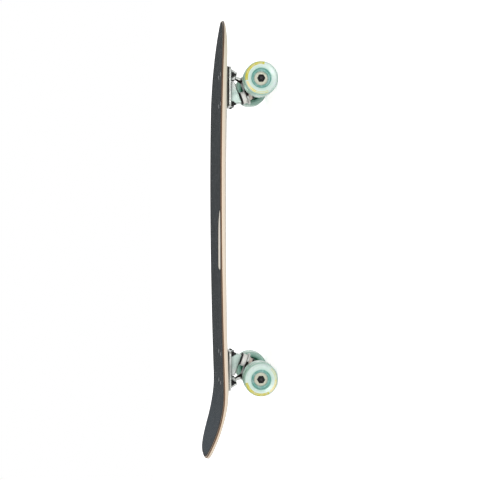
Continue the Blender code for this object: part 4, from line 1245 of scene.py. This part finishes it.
def make_truck(paints, shapes, end, axle_x, outward):
    truck = truck_matrix(axle_x, outward)
    hanger = f"{end}_hanger"

    def put(shape, node, body, tone, matrix, bend=None):
        dress(copied(shapes[shape]), f"{end}_{node}", body, paints[tone], matrix, bend)

    for name, tone, slot in (
        ("riser_pad", "riser", "black_rubber"),
        ("pivot_cup", "cup", "cup_urethane"),
        ("kingpin", "black", "black_steel"),
        ("kingpin_nut", "black", "black_steel"),
        ("board_washer", "black", "black_steel"),
        ("road_washer", "black", "black_steel"),
    ):
        put(name, name, "board", tone, truck)
    base = casting(f"{end}_baseplate", BASE_EASING)
    mark_block(base, truck)
    dress(base, f"{end}_baseplate", "board", paints["cast"])

    barrel = casting(hanger, HANGER_EASING)
    mark_painted_shade(barrel, truck)
    dress(barrel, hanger, hanger, paints["cast"])
    for name, tone, near, far in (
        ("board_bushing", "cream", "board", hanger),
        ("road_bushing", "blush", hanger, "board"),
    ):
        start = STACK_STARTS[name]
        ends = (start, start + STACK[name][0])
        low, high = (truck @ KINGPIN_FRAME @ Vector((0, 0, -depth)) for depth in ends)
        put(name, name, near, tone, truck, (far, low, high))

    axle_place = Matrix.Translation((axle_x, 0, AXLE_HEIGHT))
    lying = axle_place @ Matrix.Rotation(radians(90), 4, "X")
    put("axle", "axle", hanger, "black", lying)
    for side, across in SIDES:
        body = f"{end}_{side}_wheel"
        hub = axle_place @ Matrix.Rotation(radians(-90 * across), 4, "X")
        middle = hub @ Matrix.Translation((0, 0, WHEEL_CENTRE))
        wheel = copied(shapes["wheel"])
        wheel.data.transform(middle)
        map_wheel(wheel, middle.translation, radians(PRINT_TURNS[end, side]))
        dress(wheel, body, body, paints["urethane"])
        offset = (BEARING_SPACING + BEARING_WIDTH) / 2
        for where, shift in (("outer", offset), ("inner", -offset)):
            seat = middle @ Matrix.Translation((0, 0, shift))
            put("bearing", f"{side}_{where}_bearing", body, "shield", seat)
        put("speed_ring", f"{side}_speed_ring", hanger, "zinc", hub)
        put("axle_nut", f"{side}_axle_nut", hanger, "nylon", hub)


def make_trucks(paints):
    nut_end = AXLE_NUT_START + AXLE_NUT_HEIGHT
    shapes = {
        "riser_pad": riser_piece(),
        "pivot_cup": cup_piece(),
        "kingpin": kingpin_piece(),
        "kingpin_nut": kingpin_nut_piece(),
        "wheel": wheel_piece(),
        "bearing": bearing_piece(),
        "axle": axle_piece(),
        "speed_ring": speed_ring_piece(),
        "axle_nut": nut(AXLE_NUT_FLATS, AXLE_NUT_START, nut_end, AXLE_RADIUS + GAP, NUT_COLLAR),
        **{name: stack_piece(name) for name in STACK},
    }
    for end, axle_x, outward in TRUCKS:
        make_truck(paints, shapes, end, axle_x, outward)
    for obj in shapes.values():
        bpy.data.objects.remove(obj, do_unlink=True)


# Camera, floor and light


def place_camera():
    camera = linked("camera", bpy.data.cameras.new("camera"))
    camera.data.lens = CAMERA_LENS
    level = cos(CAMERA_PITCH)
    forward = Vector((sin(CAMERA_YAW) * level, cos(CAMERA_YAW) * level, sin(CAMERA_PITCH)))
    # The photograph stands the board on its tail, so the picture's upward side is the nose's
    right = forward.cross(Vector((1, 0, 0))).normalized()
    turn = Matrix((right, right.cross(forward), -forward)).transposed().to_4x4()
    camera.matrix_world = Matrix.Translation(CAMERA_PLACE) @ turn
    bpy.context.scene.camera = camera


def light_world():
    """White to look at, and a dimmer soft light on things."""
    world = bpy.data.worlds.new("studio")
    world.use_nodes = True
    wiring = Wiring(world.node_tree)
    background = world.node_tree.nodes["Background"].inputs
    background["Color"].default_value = (1, 1, 1, 1)
    wiring.feed(background["Strength"], wiring.span(wiring.seen_directly(), 0.0, 1.0, WORLD_LIGHT, 1.0))
    bpy.context.scene.world = world


def lay_floor():
    """A pale matt floor that takes the shadow and glows white to the camera."""
    shape = bmesh.new()
    bmesh.ops.create_grid(shape, x_segments=1, y_segments=1, size=FLOOR_SIZE)
    floor = new_object(shape, name="floor")
    material = bpy.data.materials.new("studio_floor")
    material.use_nodes = True
    wiring = Wiring(material.node_tree)
    wiring.tree.nodes.remove(wiring.tree.nodes["Principled BSDF"])
    matt = wiring.node("BsdfDiffuse", {"Color": (FLOOR_TONE, FLOOR_TONE, FLOOR_TONE, 1)})
    glow = wiring.times(wiring.seen_directly(), FLOOR_GLOW)
    shine = wiring.node("Emission", {"Strength": glow})
    both = wiring.node("AddShader", {0: matt.outputs[0], 1: shine.outputs[0]})
    wiring.feed(wiring.tree.nodes["Material Output"].inputs["Surface"], both.outputs[0])
    floor.data.materials.append(material)


def soft_light(name, place, size, power):
    light = bpy.data.lights.new(name, "AREA")
    light.shape = "DISK"
    light.size = size
    light.energy = power
    obj = linked(name, light)
    obj.location = place
    obj.rotation_euler = (Vector(LIGHT_AIM) - Vector(place)).to_track_quat("-Z", "Y").to_euler()


def main():
    paints = make_paints()
    make_board(paints)
    make_bolts(paints)
    make_trucks(paints)
    place_camera()
    light_world()
    lay_floor()
    for light in LIGHTS:
        soft_light(*light)
    bpy.context.scene.view_settings.view_transform = "Standard"


main()
